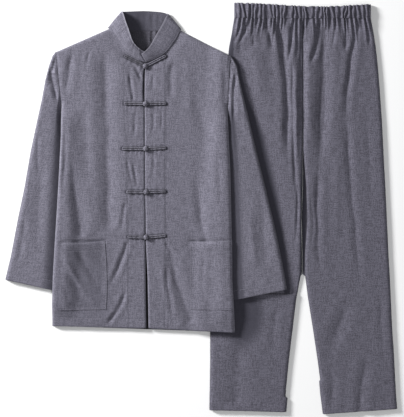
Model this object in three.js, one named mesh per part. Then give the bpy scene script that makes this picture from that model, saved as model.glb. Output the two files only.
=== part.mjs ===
// A tai chi uniform in plain woven cloth, laid flat and face up on the plane z = 0. The jacket has a
// standing collar, two patch pockets and five knotted frog fastenings. The wide trousers have an
// elastic waist, and their right leg lies under the jacket's left side and left sleeve.
// Units are millimetres, +Z is up and +Y runs from the hems to the collar. "Right" and "left" are
// the wearer's, so a right piece lies at the smaller x. The origin is under the middle of the suit.
import * as THREE from "three";

// Driving sizes
const CLOTH = 1.5; // wall of one layer of cloth
const SEAM_GAP = 0.3; // space between two pieces that are sewn or laid together
const AIR = 3.0; // air between the two layers of a garment that lies flat
const EDGE_ROUND = 12; // width over which the upper layer comes down to a seam at an edge
const LAID = 2 * CLOTH + SEAM_GAP + AIR; // height of two layers away from their edges
const CLEAR = 0.7; // space kept over a layer that something else lies on
const TROUSERS_AT = { x: 395, y: -210 }; // the trousers' frame, seen from the jacket's
const WAVES = 32; // gathers across the front of the waist, and as many behind
const WAVE_HEIGHT = 3.0; // crest to trough of a gather in front
const BACK_WAVE_HEIGHT = 1.2;
const WAVE_DROP = 36; // how far a gather runs below the waist seam
const BAND_WALL = 2.2; // waistband cloth with its elastic
const COLLAR_WALL = 2.0; // stiffened collar band

// Rows with named columns, so that each table below reads as one
const table = (columns, ...rows) => {
  const names = columns.split(" ");
  return rows.map((row) => Object.fromEntries(names.map((name, i) => [name, row[i]])));
};

// The jacket's body, from the hem up to the shoulders: both side edges with their armholes, and the
// two front edges with the neckline. steps is how many rows of cloth reach the next section.
const BODY = table(
  "steps rightX rightY rightEdgeX rightEdgeY leftEdgeX leftEdgeY leftX leftY",
  [3, -232, 5, 3.2, 0, 9, 0, 225, -11],
  [2, -232, 60, 2.2, 60, 8, 60, 222, 55],
  [2, -230, 130, 1.5, 128, 6.5, 128, 218, 125],
  [2, -225, 215, 0.8, 212, 2.6, 212, 217, 212],
  [2, -219, 310, 0.3, 310, 1.1, 310, 215, 315],
  [2, -214, 400, -0.6, 395, 0.2, 395, 213, 400],
  [2, -210, 480, -1.1, 470, -0.3, 470, 209, 475],
  [1, -209, 560, -1.5, 545, -0.7, 545, 206, 556],
  [1, -212.2, 590, -4, 588, -0.8, 588, 207.9, 590],
  [1, -215.5, 620, -4, 632, -0.4, 632, 209.5, 618],
  [1, -218.2, 645, -2.5, 661, 1, 661, 210.7, 640],
  [1, -219.8, 660, -27, 676, 27, 676, 211.4, 652],
  [1, -221, 671, -52, 692, 52, 692, 212, 662],
  [1, -222, 681, -71, 719, 71, 716, 212.5, 671],
  [1, -223, 690, -88, 749, 87, 745, 213, 680],
);
const UNDERARM_SECTION = 7;
const POCKET_TOP_SECTION = 3;

// The sleeves, from the armhole to the cuff: the edge away from the body and the edge beside it
const RIGHT_SLEEVE = table(
  "steps outerX outerY innerX innerY",
  [1, -223.9, 691, -209.9, 559],
  [1, -232, 680, -210.2, 545],
  [1, -241, 655, -210.4, 522],
  [1, -250, 620, -209, 495],
  [1, -258, 575, -207, 465],
  [2, -270, 520, -205, 425],
  [2, -286, 445, -204, 365],
  [2, -302, 352, -206, 290],
  [2, -320, 265, -209, 218],
  [2, -336, 180, -213, 143],
  [1, -350, 121, -216, 91],
);
const LEFT_SLEEVE = table(
  "steps outerX outerY innerX innerY",
  [1, 213.9, 681, 206.9, 555],
  [1, 222, 670, 207.7, 540],
  [1, 230, 655, 208.6, 520],
  [1, 236, 622, 207.5, 495],
  [1, 244, 587, 206, 465],
  [2, 258, 530, 205, 425],
  [2, 279, 440, 205, 360],
  [2, 301, 352, 206, 285],
  [2, 324, 255, 208, 205],
  [2, 343, 165, 209, 130],
  [1, 355, 97, 210, 68],
);

// The collar band, from its right front end round the back of the neck to its left front end: the
// edge sewn to the neckline and the free edge, which stands up off the table in front
const COLLAR = table(
  "seamX seamY seamZ topX topY topZ",
  [3, 664, 8.2, 1, 690, 9.0],
  [-8, 667, 8.2, -8, 694, 9.6],
  [-27, 674.5, 8.3, -22, 705, 12.0],
  [-50, 688.5, 8.3, -31, 719, 15.0],
  [-69, 715.5, 8.2, -39, 742, 16.5],
  [-80, 733, 7.9, -46, 762, 16.5],
  [-87, 746, 6.9, -52, 781, 14.5],
  [-90, 750.5, 5.2, -55.5, 789, 10.5],
  [-90.8, 752, 3.2, -56.5, 791, 6.0],
  [-88, 751.5, 1.8, -54.5, 791.5, 2.4],
  [-60, 749.1, 1.2, -38, 792, 1.4],
  [0, 747.7, 1.2, 0, 793, 1.4],
  [60, 746.3, 1.2, 38, 790.5, 1.4],
  [86, 747, 1.8, 54.5, 786.5, 2.4],
  [89.5, 747.5, 3.2, 57, 785.5, 6.0],
  [89, 746, 5.2, 56, 783, 10.5],
  [86, 741, 7.0, 52, 776, 14.5],
  [77, 723.5, 7.9, 40, 752, 16.5],
  [66, 708.5, 8.2, 27.5, 731, 16.5],
  [52, 690.5, 8.3, 16.5, 711, 15.5],
  [37, 680, 8.6, 8, 698.5, 14.4],
  [17, 670.5, 9.6, -1, 689.5, 13.2],
  [2, 664.5, 11.0, -9, 684.5, 12.8],
);

// The five frogs: the knot, and the far ends of the strap on each side of it
const FROGS = table(
  "knotX knotY rightX rightY leftX leftY",
  [1, 654, -50, 679.5, 52, 680],
  [1.2, 560, -51, 561, 52, 561],
  [2, 448, -56, 448, 52, 450],
  [3, 340, -45, 340, 51, 342],
  [3, 227, -42, 228, 51, 231],
);

// The trouser legs, from the waist seam down to the hem: the outer edge and the inner edge, which
// is the centre seam as far as the crotch and the inseam below it. backX is the back's inner edge:
// below the crotch the back is cut wider, and nearly closes the gap between the two fronts.
const RIGHT_LEG = table(
  "steps outerX outerY innerX innerY backX",
  [1, -172, 985, -0.2, 983, -0.2],
  [1, -175.5, 964, -0.2, 962, -0.2],
  [1, -178, 947, -0.2, 945, -0.2],
  [2, -185, 912, -0.2, 910, -0.2],
  [2, -190, 855, -0.2, 855, -0.2],
  [2, -193, 790, -0.2, 790, -0.2],
  [2, -197, 720, -0.2, 720, -0.2],
  [2, -202, 655, -0.5, 655, -0.2],
  [2, -208, 570, -3, 565, -0.6],
  [1, -215, 480, -4, 475, -4.1],
  [1, -221, 400, -4, 400, -2],
  [1, -226, 345, -5, 345, -2],
  [1, -226.3, 339, -6, 339, -6],
  [1, -229, 280, -17, 280, -17],
  [1, -232, 205, -26, 205, -26],
  [1, -232, 130, -35, 130, -35],
  [1, -233, 60, -42, 60, -42],
  [1, -233.5, 38, -43.5, 38, -43.5],
  [1, -233.6, 34, -38.5, 34, -38.5],
  [1, -234, 5, -41.5, 0, -41.5],
);
const LEFT_LEG = table(
  "steps outerX outerY innerX innerY backX",
  [1, 170, 984, 0.2, 983, 0.2],
  [1, 174, 963, 0.2, 962, 0.2],
  [1, 177, 946, 0.2, 945, 0.2],
  [2, 182, 915, 0.2, 910, 0.2],
  [2, 188, 860, 0.2, 855, 0.2],
  [2, 193, 795, 0.2, 790, 0.2],
  [2, 198, 725, 0.2, 720, 0.2],
  [2, 201, 660, 0.6, 655, 0.2],
  [2, 206, 570, 8, 565, 0.4],
  [1, 210, 485, 11, 485, -3.1],
  [1, 214, 395, 5, 395, -1],
  [1, 217, 345, 5, 345, -1],
  [1, 217.3, 339, 6, 339, 6],
  [1, 220, 285, 13, 285, 13],
  [1, 223, 215, 25, 210, 25],
  [1, 228, 140, 37, 130, 37],
  [1, 231, 80, 43.5, 80, 43.5],
  [1, 231.3, 76, 41, 76, 41],
  [1, 233, 45, 43.5, 45, 43.5],
  [1, 236, 8, 50, -5, 50],
);

// The waistband's lower and upper edge, across the waist
const WAISTBAND = table(
  "x lowerY upperY",
  [-172, 985.3, 1022],
  [-110, 984.6, 1020],
  [-0.2, 983.3, 1013.5],
  [60, 983.7, 1012.5],
  [170, 984.3, 1018.5],
);

// The largest folds of each piece, as lines in its own frame from x0 y0 through x1 y1 to x2 y2.
// width is half a fold's breadth, and rise its height, negative for a trough. fadeIn and fadeOut
// are the shares of its length over which it starts and ends.
const FOLD_COLUMNS = "x0 y0 x1 y1 x2 y2 width rise fadeIn fadeOut";
const RIGHT_FRONT_FOLDS = table(
  FOLD_COLUMNS,
  [-103, 710, -103, 470, -98, 225, 24, -2.6, 0.3, 0.1],
  [-192, 540, -183, 395, -168, 218, 17, -1.8, 0.4, 0.1],
  [-187, 684, -184, 640, -204, 580, 12, -2.2, 0.2, 0.3],
  [-45, 318, -57, 278, -63, 235, 12, -1.4, 0.2, 0.4],
  [-46, 214, -57, 178, -90, 106, 13, -2.2, 0.1, 0.4],
  [-48, 96, -60, 62, -92, 12, 12, -1.8, 0.3, 0.2],
);
const LEFT_FRONT_FOLDS = table(
  FOLD_COLUMNS,
  [70, 672, 63, 622, 52, 575, 12, -1.6, 0.2, 0.4],
  [170, 650, 166, 570, 172, 480, 18, -1.2, 0.4, 0.4],
  [126, 380, 135, 290, 146, 218, 13, -2.4, 0.5, 0],
  [52, 212, 66, 165, 110, 36, 13, -2.2, 0.1, 0.4],
  [64, 76, 78, 45, 94, 6, 12, -1.4, 0.3, 0.2],
);
const RIGHT_SLEEVE_FOLDS = table(
  FOLD_COLUMNS,
  [-238, 645, -236, 595, -224, 535, 12, -2.0, 0.3, 0.3],
  [-224, 535, -224, 440, -238, 330, 14, -1.8, 0.2, 0.3],
  [-238, 330, -241, 230, -240, 125, 14, -1.4, 0.3, 0.3],
  [-285, 400, -300, 300, -312, 200, 22, 1.2, 0.4, 0.4],
);
const LEFT_SLEEVE_FOLDS = table(
  FOLD_COLUMNS,
  [224, 640, 222, 582, 221, 505, 11, -2.2, 0.2, 0.3],
  [232, 500, 238, 320, 246, 90, 17, -2.0, 0.3, 0.1],
  [264, 400, 274, 245, 284, 96, 18, -1.2, 0.4, 0.2],
);
const RIGHT_LEG_FOLDS = table(
  FOLD_COLUMNS,
  [-146, 960, -158, 917, -156, 850, 12, -2.2, 0.2, 0.4],
  [-101, 960, -92, 940, -82, 900, 11, -2.0, 0.2, 0.4],
  [-68, 965, -56, 885, -36, 770, 12, -2.7, 0.1, 0.1],
  [-36, 770, -43, 680, -46, 590, 13, -2.4, 0.1, 0.4],
  [-118, 930, -117, 860, -112, 760, 30, 1.6, 0.4, 0.4],
  [-132, 190, -136, 150, -138, 95, 14, 1.0, 0.4, 0.4],
);
const LEFT_LEG_FOLDS = table(
  FOLD_COLUMNS,
  [38, 962, 27, 915, 14, 855, 11, -2.0, 0.2, 0.4],
  [62, 962, 43, 880, 37, 730, 13, -2.4, 0.2, 0.1],
  [37, 730, 35, 560, 35, 420, 14, -2.0, 0.1, 0.4],
  [105, 962, 102, 925, 102, 870, 11, -1.8, 0.2, 0.4],
  [138, 960, 127, 905, 118, 800, 13, -1.8, 0.2, 0.5],
  [106, 800, 112, 690, 118, 560, 13, -1.0, 0.4, 0.4],
  [118, 540, 128, 430, 133, 300, 15, -0.9, 0.4, 0.4],
  [154, 92, 158, 50, 163, 4, 11, -1.0, 0.5, 0],
);
const FOLD_STEPS = 12;
const FLANK = 0.4; // how far the cloth beside a fold moves the other way, as a share of its rise

const clamp = (value, low, high) => Math.min(Math.max(value, low), high);
const between = (a, b, share) => a + (b - a) * share;
const smooth = (value) => {
  const t = clamp(value, 0, 1);
  return t * t * (3 - 2 * t);
};
// A quarter round: 0 at an edge and 1 from EDGE_ROUND inwards
const roundOff = (distance) => Math.sqrt(1 - (1 - clamp(distance / EDGE_ROUND, 0, 1)) ** 2);
const bump = (q) => (Math.abs(q) < 1 ? 0.5 + 0.5 * Math.cos(Math.PI * q) : 0);

// A table's values at a place u along its rows, straight from one row to the next
function rowAt(rows, u) {
  const i = clamp(Math.floor(u), 0, rows.length - 2);
  const mixed = {};
  for (const column of Object.keys(rows[i])) {
    mixed[column] = between(rows[i][column], rows[i + 1][column], u - i);
  }
  return mixed;
}

// A table's value of one column where another column has the value given
function lookUp(rows, known, value, wanted) {
  for (let i = 0; i < rows.length - 1; i++) {
    const share = (value - rows[i][known]) / (rows[i + 1][known] - rows[i][known]);
    if (share <= 1 && (share >= 0 || i === 0)) {
      return between(rows[i][wanted], rows[i + 1][wanted], Math.max(share, 0));
    }
  }
  return rows.at(-1)[wanted];
}

// Every place along a table's rows where a row of cloth points lies
function placesAlong(rows, from = 0, to = rows.length - 1) {
  const places = [];
  for (let i = from; i < to; i++) {
    for (let step = 0; step < rows[i].steps; step++) {
      places.push(i + step / rows[i].steps);
    }
  }
  return [...places, to];
}

const foldLines = (rows) =>
  rows.map((row) => {
    const start = new THREE.Vector2(row.x0, row.y0);
    const end = new THREE.Vector2(row.x2, row.y2);
    const middle = new THREE.Vector2(row.x1, row.y1).multiplyScalar(2);
    middle.sub(start.clone().add(end).multiplyScalar(0.5));
    const points = new THREE.QuadraticBezierCurve(start, middle, end).getPoints(FOLD_STEPS);
    return { ...row, points };
  });

// Height that the folds add at a point of the cloth
function foldHeight(folds, x, y) {
  let height = 0;
  for (const { points, width, rise, fadeIn, fadeOut } of folds) {
    let nearest = { distance: Infinity, share: 0 };
    for (let i = 0; i < FOLD_STEPS; i++) {
      const [a, b] = [points[i], points[i + 1]];
      const [dx, dy] = [b.x - a.x, b.y - a.y];
      const along = clamp(((x - a.x) * dx + (y - a.y) * dy) / (dx * dx + dy * dy), 0, 1);
      const distance = Math.hypot(x - a.x - along * dx, y - a.y - along * dy);
      if (distance < nearest.distance) {
        nearest = { distance, share: (i + along) / FOLD_STEPS };
      }
    }
    const { distance, share } = nearest;
    const profile = bump(distance / width) - FLANK * bump((distance - 1.15 * width) / width);
    const start = fadeIn > 0 ? smooth(share / fadeIn) : 1;
    const end = fadeOut > 0 ? smooth((1 - share) / fadeOut) : 1;
    height += rise * profile * start * end;
  }
  return height;
}

// Collects triangles over a shared list of points
class Skin {
  constructor() {
    this.points = [];
    this.triangles = [];
  }
  add(point) {
    this.points.push(point.x, point.y, point.z);
    return this.points.length / 3 - 1;
  }
  quad(a, b, c, d) {
    this.triangles.push(a, b, c, a, c, d);
  }
  // Two rows of points, which may differ in number, joined by a strip of triangles
  strip(rowA, rowB, flip) {
    let [i, j] = [0, 0];
    while (i < rowA.length - 1 || j < rowB.length - 1) {
      const nextA = i < rowA.length - 1 ? (i + 1) / (rowA.length - 1) : Infinity;
      const nextB = j < rowB.length - 1 ? (j + 1) / (rowB.length - 1) : Infinity;
      const third = nextA <= nextB ? rowA[i + 1] : rowB[j + 1];
      const corners = flip ? [third, rowA[i], rowB[j]] : [rowA[i], third, rowB[j]];
      this.triangles.push(...corners);
      if (nextA <= nextB) i++;
      else j++;
    }
  }
  mesh(name, finish) {
    const geometry = new THREE.BufferGeometry();
    geometry.setAttribute("position", new THREE.Float32BufferAttribute(this.points, 3));
    geometry.setIndex(this.volume() < 0 ? this.triangles.toReversed() : this.triangles);
    geometry.computeVertexNormals();
    const mesh = new THREE.Mesh(geometry, new THREE.MeshStandardMaterial(finish));
    mesh.name = name;
    return mesh;
  }
  volume() {
    const corner = (i) => new THREE.Vector3().fromArray(this.points, 3 * this.triangles[i]);
    let sum = 0;
    for (let i = 0; i < this.triangles.length; i += 3) {
      sum += corner(i).dot(corner(i + 1).cross(corner(i + 2)));
    }
    return sum / 6;
  }
}

// A sheet of cloth as one closed wall: rows of points with their outer and inner side
function sheet(name, finish, rows) {
  const skin = new Skin();
  const outer = rows.map((row) => row.map((point) => skin.add(point.outer)));
  const inner = rows.map((row) => row.map((point) => skin.add(point.inner)));
  for (let k = 0; k < rows.length - 1; k++) {
    skin.strip(outer[k], outer[k + 1], false);
    skin.strip(inner[k], inner[k + 1], true);
    skin.quad(outer[k + 1].at(-1), outer[k].at(-1), inner[k].at(-1), inner[k + 1].at(-1));
    skin.quad(outer[k][0], outer[k + 1][0], inner[k + 1][0], inner[k][0]);
  }
  const ends = [
    [outer[0].toReversed(), inner[0].toReversed()],
    [outer.at(-1), inner.at(-1)],
  ];
  for (const [edge, under] of ends) {
    for (let i = 0; i < edge.length - 1; i++) {
      skin.quad(edge[i], edge[i + 1], under[i + 1], under[i]);
    }
  }
  return skin.mesh(name, finish);
}

// A tube of cloth, open at both ends: rings of points with their outer and inner side
function tube(name, finish, rings) {
  const skin = new Skin();
  const outer = rings.map((ring) => ring.map((point) => skin.add(point.outer)));
  const inner = rings.map((ring) => ring.map((point) => skin.add(point.inner)));
  const last = rings.length - 1;
  const count = rings[0].length;
  for (let i = 0; i < count; i++) {
    const next = (i + 1) % count;
    for (let k = 0; k < last; k++) {
      skin.quad(outer[k][i], outer[k][next], outer[k + 1][next], outer[k + 1][i]);
      skin.quad(inner[k][next], inner[k][i], inner[k + 1][i], inner[k + 1][next]);
    }
    skin.quad(outer[0][next], outer[0][i], inner[0][i], inner[0][next]);
    skin.quad(outer[last][i], outer[last][next], inner[last][next], inner[last][i]);
  }
  return skin.mesh(name, finish);
}

const CLOTH_FINISH = { color: 0x74727e, roughness: 0.92, metalness: 0 };
const CORD_FINISH = { color: 0x6c6a76, roughness: 0.85, metalness: 0 };

// Two points one cloth wall apart, the lower one at the height given
const layer = (x, y, height, wallHeight = CLOTH) => ({
  outer: new THREE.Vector3(x, y, height + wallHeight),
  inner: new THREE.Vector3(x, y, height),
});

// Height of what the jacket's body lies on: the table, the right sleeve's inner edge, and on its
// left side the trousers and the left sleeve's inner edge
const TROUSER_RISE = LAID + CLEAR;
const SLEEVE_RISE = LAID + 0.6;
const RISE_OVER = 42; // width of the slope up on to another piece
const RISE_BEFORE = 8; // how far before that piece the slope is done
const SLIP_UNDER = 50; // length below the underarm over which the sleeve comes under the body
const PAST_CUFF = { start: 27, end: 77 }; // where the body has come down again, below the cuff
const slopeUp = (inside) => smooth((inside + RISE_BEFORE + RISE_OVER) / RISE_OVER);
const underarm = BODY[UNDERARM_SECTION];
function sleeveRest(sleeveTable, armY, inside, y) {
  const belowCuff = sleeveTable.at(-1).innerY - y;
  const past = (belowCuff - PAST_CUFF.start) / (PAST_CUFF.end - PAST_CUFF.start);
  return SLEEVE_RISE * slopeUp(inside) * smooth((armY - y) / SLIP_UNDER) * (1 - smooth(past));
}
function bodyRest(x, y) {
  if (x < 0) {
    const inside = lookUp(RIGHT_SLEEVE, "innerY", y, "innerX") - x;
    return sleeveRest(RIGHT_SLEEVE, underarm.rightY, inside, y);
  }
  const legEdge = lookUp(RIGHT_LEG, "outerY", y - TROUSERS_AT.y, "outerX") + TROUSERS_AT.x;
  const inside = x - lookUp(LEFT_SLEEVE, "innerY", y, "innerX");
  return TROUSER_RISE * slopeUp(x - legEdge) + sleeveRest(LEFT_SLEEVE, underarm.leftY, inside, y);
}

// The upper layer comes up on to those pieces a little before the lower one
const FRONT_REACH = 5;
const frontRest = (x, y) => Math.max(bodyRest(x, y), bodyRest(x + Math.sign(x) * FRONT_REACH, y));

// How far the body's upper layer is up off the lower one, from 0 at the side and shoulder seams to 1
function bodyRound(x, y) {
  const side = x < 0 ? "right" : "left";
  const tip = { x: BODY.at(-1)[`${side}X`], y: BODY.at(-1)[`${side}Y`] };
  const neck = { x: BODY.at(-1)[`${side}EdgeX`], y: BODY.at(-1)[`${side}EdgeY`] };
  const arm = { x: underarm[`${side}X`], y: underarm[`${side}Y`] };
  const sideX = lookUp(BODY, `${side}Y`, Math.min(y, arm.y), `${side}X`);
  const fromSide = y < arm.y ? Math.abs(x - sideX) : Math.hypot(x - arm.x, y - arm.y);
  const seam = { x: neck.x - tip.x, y: neck.y - tip.y };
  const cross = seam.x * (y - tip.y) - seam.y * (x - tip.x);
  const fromShoulder = Math.abs(cross) / Math.hypot(seam.x, seam.y);
  return roundOff(fromSide) * roundOff(fromShoulder);
}

const JACKET_BACK_ACROSS = [
  ...[0, 0.02, 0.06, 0.1, 0.15, 0.2, 0.28, 0.38, 0.5, 0.61],
  ...[0.72, 0.78, 0.83, 0.865, 0.895, 0.922, 0.946, 0.97, 0.99, 1],
];
const SHOULDER_SHARES = [0.09, 0.19, 0.3, 0.45, 0.7, 1];
function jacketBack() {
  const last = BODY.length - 1;
  const places = placesAlong(BODY, 0, last - 3).concat(last);
  const sections = places.map((u) => rowAt(BODY, u));
  const tip = sections.at(-1);
  for (const share of SHOULDER_SHARES) {
    sections.push({
      rightX: between(tip.rightX, tip.rightEdgeX, share),
      rightY: between(tip.rightY, tip.rightEdgeY, share),
      leftX: between(tip.leftX, tip.leftEdgeX, share),
      leftY: between(tip.leftY, tip.leftEdgeY, share),
    });
  }
  const rows = sections.map(({ rightX, rightY, leftX, leftY }) =>
    JACKET_BACK_ACROSS.map((s) => {
      const [x, y] = [between(rightX, leftX, s), between(rightY, leftY, s)];
      return layer(x, y, bodyRest(x, y));
    }),
  );
  return sheet("jacket_back", CLOTH_FINISH, rows);
}

// The rows of one front panel, from its outer side to its front edge
const FRONT_ACROSS = [
  ...[0, 0.02, 0.06, 0.11, 0.16, 0.22, 0.28, 0.34, 0.4],
  ...[0.46, 0.51, 0.56, 0.62, 0.69, 0.76, 0.83, 0.91, 1],
];
function frontRows(side, foldTable) {
  const folds = foldLines(foldTable);
  return placesAlong(BODY).map((u) => {
    const row = rowAt(BODY, u);
    return FRONT_ACROSS.map((s) => {
      const x = between(row[`${side}X`], row[`${side}EdgeX`], s);
      const y = between(row[`${side}Y`], row[`${side}EdgeY`], s);
      const raised = bodyRound(x, y);
      const air = Math.max(AIR + foldHeight(folds, x, y), 0.2) * raised;
      return layer(x, y, frontRest(x, y) + CLOTH + SEAM_GAP + air);
    });
  });
}

// A patch pocket, made from the points of the panel that it is sewn to, with its mouth a little open
const POCKET_COLUMNS = { right: [1, 11], left: [1, 10] };
const POCKET_FIRST_ROW = 2;
const POCKET_GAPE = 1.2;
function pocket(side, rows) {
  const [first, last] = POCKET_COLUMNS[side];
  const mouth = placesAlong(BODY).indexOf(POCKET_TOP_SECTION);
  const patch = rows.slice(POCKET_FIRST_ROW, mouth + 1).map((row, k) => {
    const gape = k === mouth - POCKET_FIRST_ROW ? POCKET_GAPE : 0;
    return row.slice(first, last + 1).map(({ outer }, i) => {
      const sewn = i === 0 || i === last - first;
      return layer(outer.x, outer.y, outer.z + SEAM_GAP + (sewn ? 0 : gape));
    });
  });
  return sheet(`pocket_${side}`, CLOTH_FINISH, patch);
}

// A sleeve is one flattened tube: its lower layer is flat on what it rests on, and its upper layer
// comes down to the folded edges on both sides
const SLEEVE_UPPER = [0, 0.05, 0.13, 0.24, 0.36, 0.48, 0.6, 0.72, 0.84, 0.94, 1];
const SLEEVE_LOWER = [1, 0.85, 0.5, 0.15, 0];
const EDGE_INSET = 0.8; // the corners of a folded edge lie this far inside its middle
function sleeve(name, sections, foldTable, rest) {
  const folds = foldLines(foldTable);
  const rings = placesAlong(sections).map((u) => {
    const { outerX, outerY, innerX, innerY } = rowAt(sections, u);
    const length = Math.hypot(innerX - outerX, innerY - outerY);
    const place = (share, inset, height) => {
      const along = between(inset, length - inset, share) / length;
      const [x, y] = [between(outerX, innerX, along), between(outerY, innerY, along)];
      return new THREE.Vector3(x, y, height(x, y, Math.min(along, 1 - along) * length));
    };
    const point = (share, height) => ({
      outer: place(share, EDGE_INSET, (...at) => height(0, ...at)),
      inner: place(share, EDGE_INSET + CLOTH, (...at) => height(CLOTH, ...at)),
    });
    const upper = (wallInside, x, y, fromEdge) => {
      const air = Math.max(AIR + foldHeight(folds, x, y), 0.2) * roundOff(fromEdge);
      return rest + 2 * CLOTH + SEAM_GAP + air - wallInside;
    };
    const lower = (wallInside) => rest + wallInside;
    const edge = (share) => ({
      outer: place(share, 0, () => rest + CLOTH + SEAM_GAP / 2),
      inner: place(share, CLOTH, () => rest + CLOTH + SEAM_GAP / 2),
    });
    return [
      ...SLEEVE_UPPER.map((share) => point(share, upper)),
      edge(1),
      ...SLEEVE_LOWER.map((share) => point(share, lower)),
      edge(0),
    ];
  });
  return tube(name, CLOTH_FINISH, rings);
}

// The collar is one band: its two edges are smooth curves, and the wall is laid out along normals
const COLLAR_ROWS = 38;
const COLLAR_ACROSS = [0, 1 / 3, 2 / 3, 1];
function collar() {
  const curve = (edge) => {
    const points = COLLAR.map((r) => new THREE.Vector3(r[`${edge}X`], r[`${edge}Y`], r[`${edge}Z`]));
    return new THREE.CatmullRomCurve3(points, false, "centripetal");
  };
  const [seam, top] = [curve("seam"), curve("top")];
  const middle = (u, s) => seam.getPoint(u).lerp(top.getPoint(u), s);
  const small = 0.002;
  const rows = [];
  for (let k = 0; k <= COLLAR_ROWS; k++) {
    const u = k / COLLAR_ROWS;
    const [before, after] = [Math.max(u - small, 0), Math.min(u + small, 1)];
    rows.push(
      COLLAR_ACROSS.map((s) => {
        const along = middle(after, s).sub(middle(before, s));
        const across = middle(u, 1).sub(middle(u, 0));
        const normal = along.cross(across).setLength(COLLAR_WALL / 2);
        const at = middle(u, s);
        return { outer: at.clone().sub(normal), inner: at.clone().add(normal) };
      }),
    );
  }
  return sheet("collar", CLOTH_FINISH, rows);
}

// The height of a panel's outer side at a point, on its own flat facets
const ABOVE_ALL = 1000;
function facetHeight(mesh, x, y) {
  const { index, attributes } = mesh.geometry;
  const ray = new THREE.Ray(new THREE.Vector3(x, y, ABOVE_ALL), new THREE.Vector3(0, 0, -1));
  const corner = (i) => new THREE.Vector3().fromBufferAttribute(attributes.position, index.getX(i));
  const heights = [];
  for (let i = 0; i < index.count; i += 3) {
    const hit = new THREE.Vector3();
    if (ray.intersectTriangle(corner(i), corner(i + 1), corner(i + 2), false, hit)) {
      heights.push(hit.z);
    }
  }
  return Math.max(...heights);
}

// A frog's strap is a doubled cord, so its section has two humps. Its underside follows the panel.
const STRAP_SECTION = table("offset height", [-3.3, 0.7], [-1.7, 3], [0, 2], [1.7, 3], [3.3, 0.7]);
const STRAP_STEPS = 5;
const STRAP_CLEAR = 0.5;
const STRAP_FROM_KNOT = 0.8;
const KNOT = { radius: 6, height: 4, detail: 1 };
const KNOT_SEAT = [-5, 0, 5]; // places across a knot where the panels under it are felt
function strap(name, panel, from, to) {
  const run = to.clone().sub(from);
  const sideways = new THREE.Vector2(-run.y, run.x).normalize();
  const rows = [];
  for (let step = 0; step <= STRAP_STEPS; step++) {
    const at = from.clone().addScaledVector(run, step / STRAP_STEPS);
    rows.push(
      STRAP_SECTION.map(({ offset, height }) => {
        const [x, y] = [at.x + sideways.x * offset, at.y + sideways.y * offset];
        return layer(x, y, facetHeight(panel, x, y) + STRAP_CLEAR, height);
      }),
    );
  }
  return sheet(name, CORD_FINISH, rows);
}

function knot(name, panels, x, y) {
  const seat = panels.flatMap((panel) => KNOT_SEAT.map((dx) => facetHeight(panel, x + dx, y)));
  const geometry = new THREE.IcosahedronGeometry(KNOT.radius, KNOT.detail);
  geometry.scale(1, 1, KNOT.height / KNOT.radius);
  geometry.translate(x, y, Math.max(...seat) + SEAM_GAP + KNOT.height);
  const mesh = new THREE.Mesh(geometry, new THREE.MeshStandardMaterial(CORD_FINISH));
  mesh.name = name;
  return mesh;
}

function frogs(rightPanel, leftPanel) {
  const parts = [];
  FROGS.forEach((row, i) => {
    const number = i + 1;
    const end = (x, y) => {
      const far = new THREE.Vector2(x, y);
      const centre = new THREE.Vector2(row.knotX, row.knotY);
      const near = far.clone().sub(centre).setLength(KNOT.radius + STRAP_FROM_KNOT).add(centre);
      return { far, near };
    };
    const [right, left] = [end(row.rightX, row.rightY), end(row.leftX, row.leftY)];
    parts.push(strap(`frog_${number}_right`, rightPanel, right.far, right.near));
    parts.push(strap(`frog_${number}_left`, leftPanel, left.near, left.far));
    parts.push(knot(`frog_${number}_knot`, [rightPanel, leftPanel], row.knotX, row.knotY));
  });
  return parts;
}

// Gathers at the waist: waist is the place across the whole waist, drop the way below its seam
const wave = (waist) => 0.5 + 0.5 * Math.cos(2 * Math.PI * WAVES * waist);
const gather = (height, waist, drop) => height * wave(waist) * (1 - smooth(drop / WAVE_DROP));

// A trouser panel's rows. The first two have a few points for each gather, the others far fewer.
const LEG_ACROSS = [
  ...[0, 0.03, 0.08, 0.15, 0.22, 0.3, 0.38, 0.46],
  ...[0.54, 0.62, 0.7, 0.78, 0.86, 0.93, 0.97, 1],
];
const BACK_ACROSS = [0, 0.2, 0.4, 0.6, 0.8, 1];
const GATHERED_ROWS = 2;
const SEAM_ROUND_FROM = 960; // above this height the centre seam is no longer drawn down
const SEAM_ROUND_OVER = 20;
function legRows(sections, inner, samplesPerWave, plainAcross, heightAt) {
  const count = (WAVES / 2) * samplesPerWave;
  const gathered = Array.from({ length: count + 1 }, (_, i) => i / count);
  return placesAlong(sections).map((u, k) => {
    const row = rowAt(sections, u);
    return (k < GATHERED_ROWS ? gathered : plainAcross).map((s) => {
      const [x, y] = [between(row.outerX, row[inner], s), between(row.outerY, row.innerY, s)];
      const width = Math.abs(row[inner] - row.outerX);
      const drop = sections[0].outerY - y;
      return layer(x, y, heightAt({ x, y, s, width, drop }));
    });
  });
}
const legBackRest = ({ s, width, drop }) =>
  gather(BACK_WAVE_HEIGHT, s / 2, drop) * roundOff(s * width) * roundOff((1 - s) * width);

const legBack = (name, sections) =>
  sheet(name, CLOTH_FINISH, legRows(sections, "backX", 2, BACK_ACROSS, legBackRest));

function legFront(name, sections, foldTable) {
  const folds = foldLines(foldTable);
  const rows = legRows(sections, "innerX", 3, LEG_ACROSS, (at) => {
    const nearWaist = smooth((at.y - SEAM_ROUND_FROM) / SEAM_ROUND_OVER);
    const innerRound = Math.max(roundOff((1 - at.s) * at.width), nearWaist);
    const raised = roundOff(at.s * at.width) * innerRound;
    const lift = AIR + foldHeight(folds, at.x, at.y) + gather(WAVE_HEIGHT, at.s / 2, at.drop);
    return legBackRest(at) + CLOTH + SEAM_GAP + Math.max(lift, 0.2) * raised;
  });
  return sheet(name, CLOTH_FINISH, rows);
}

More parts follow.
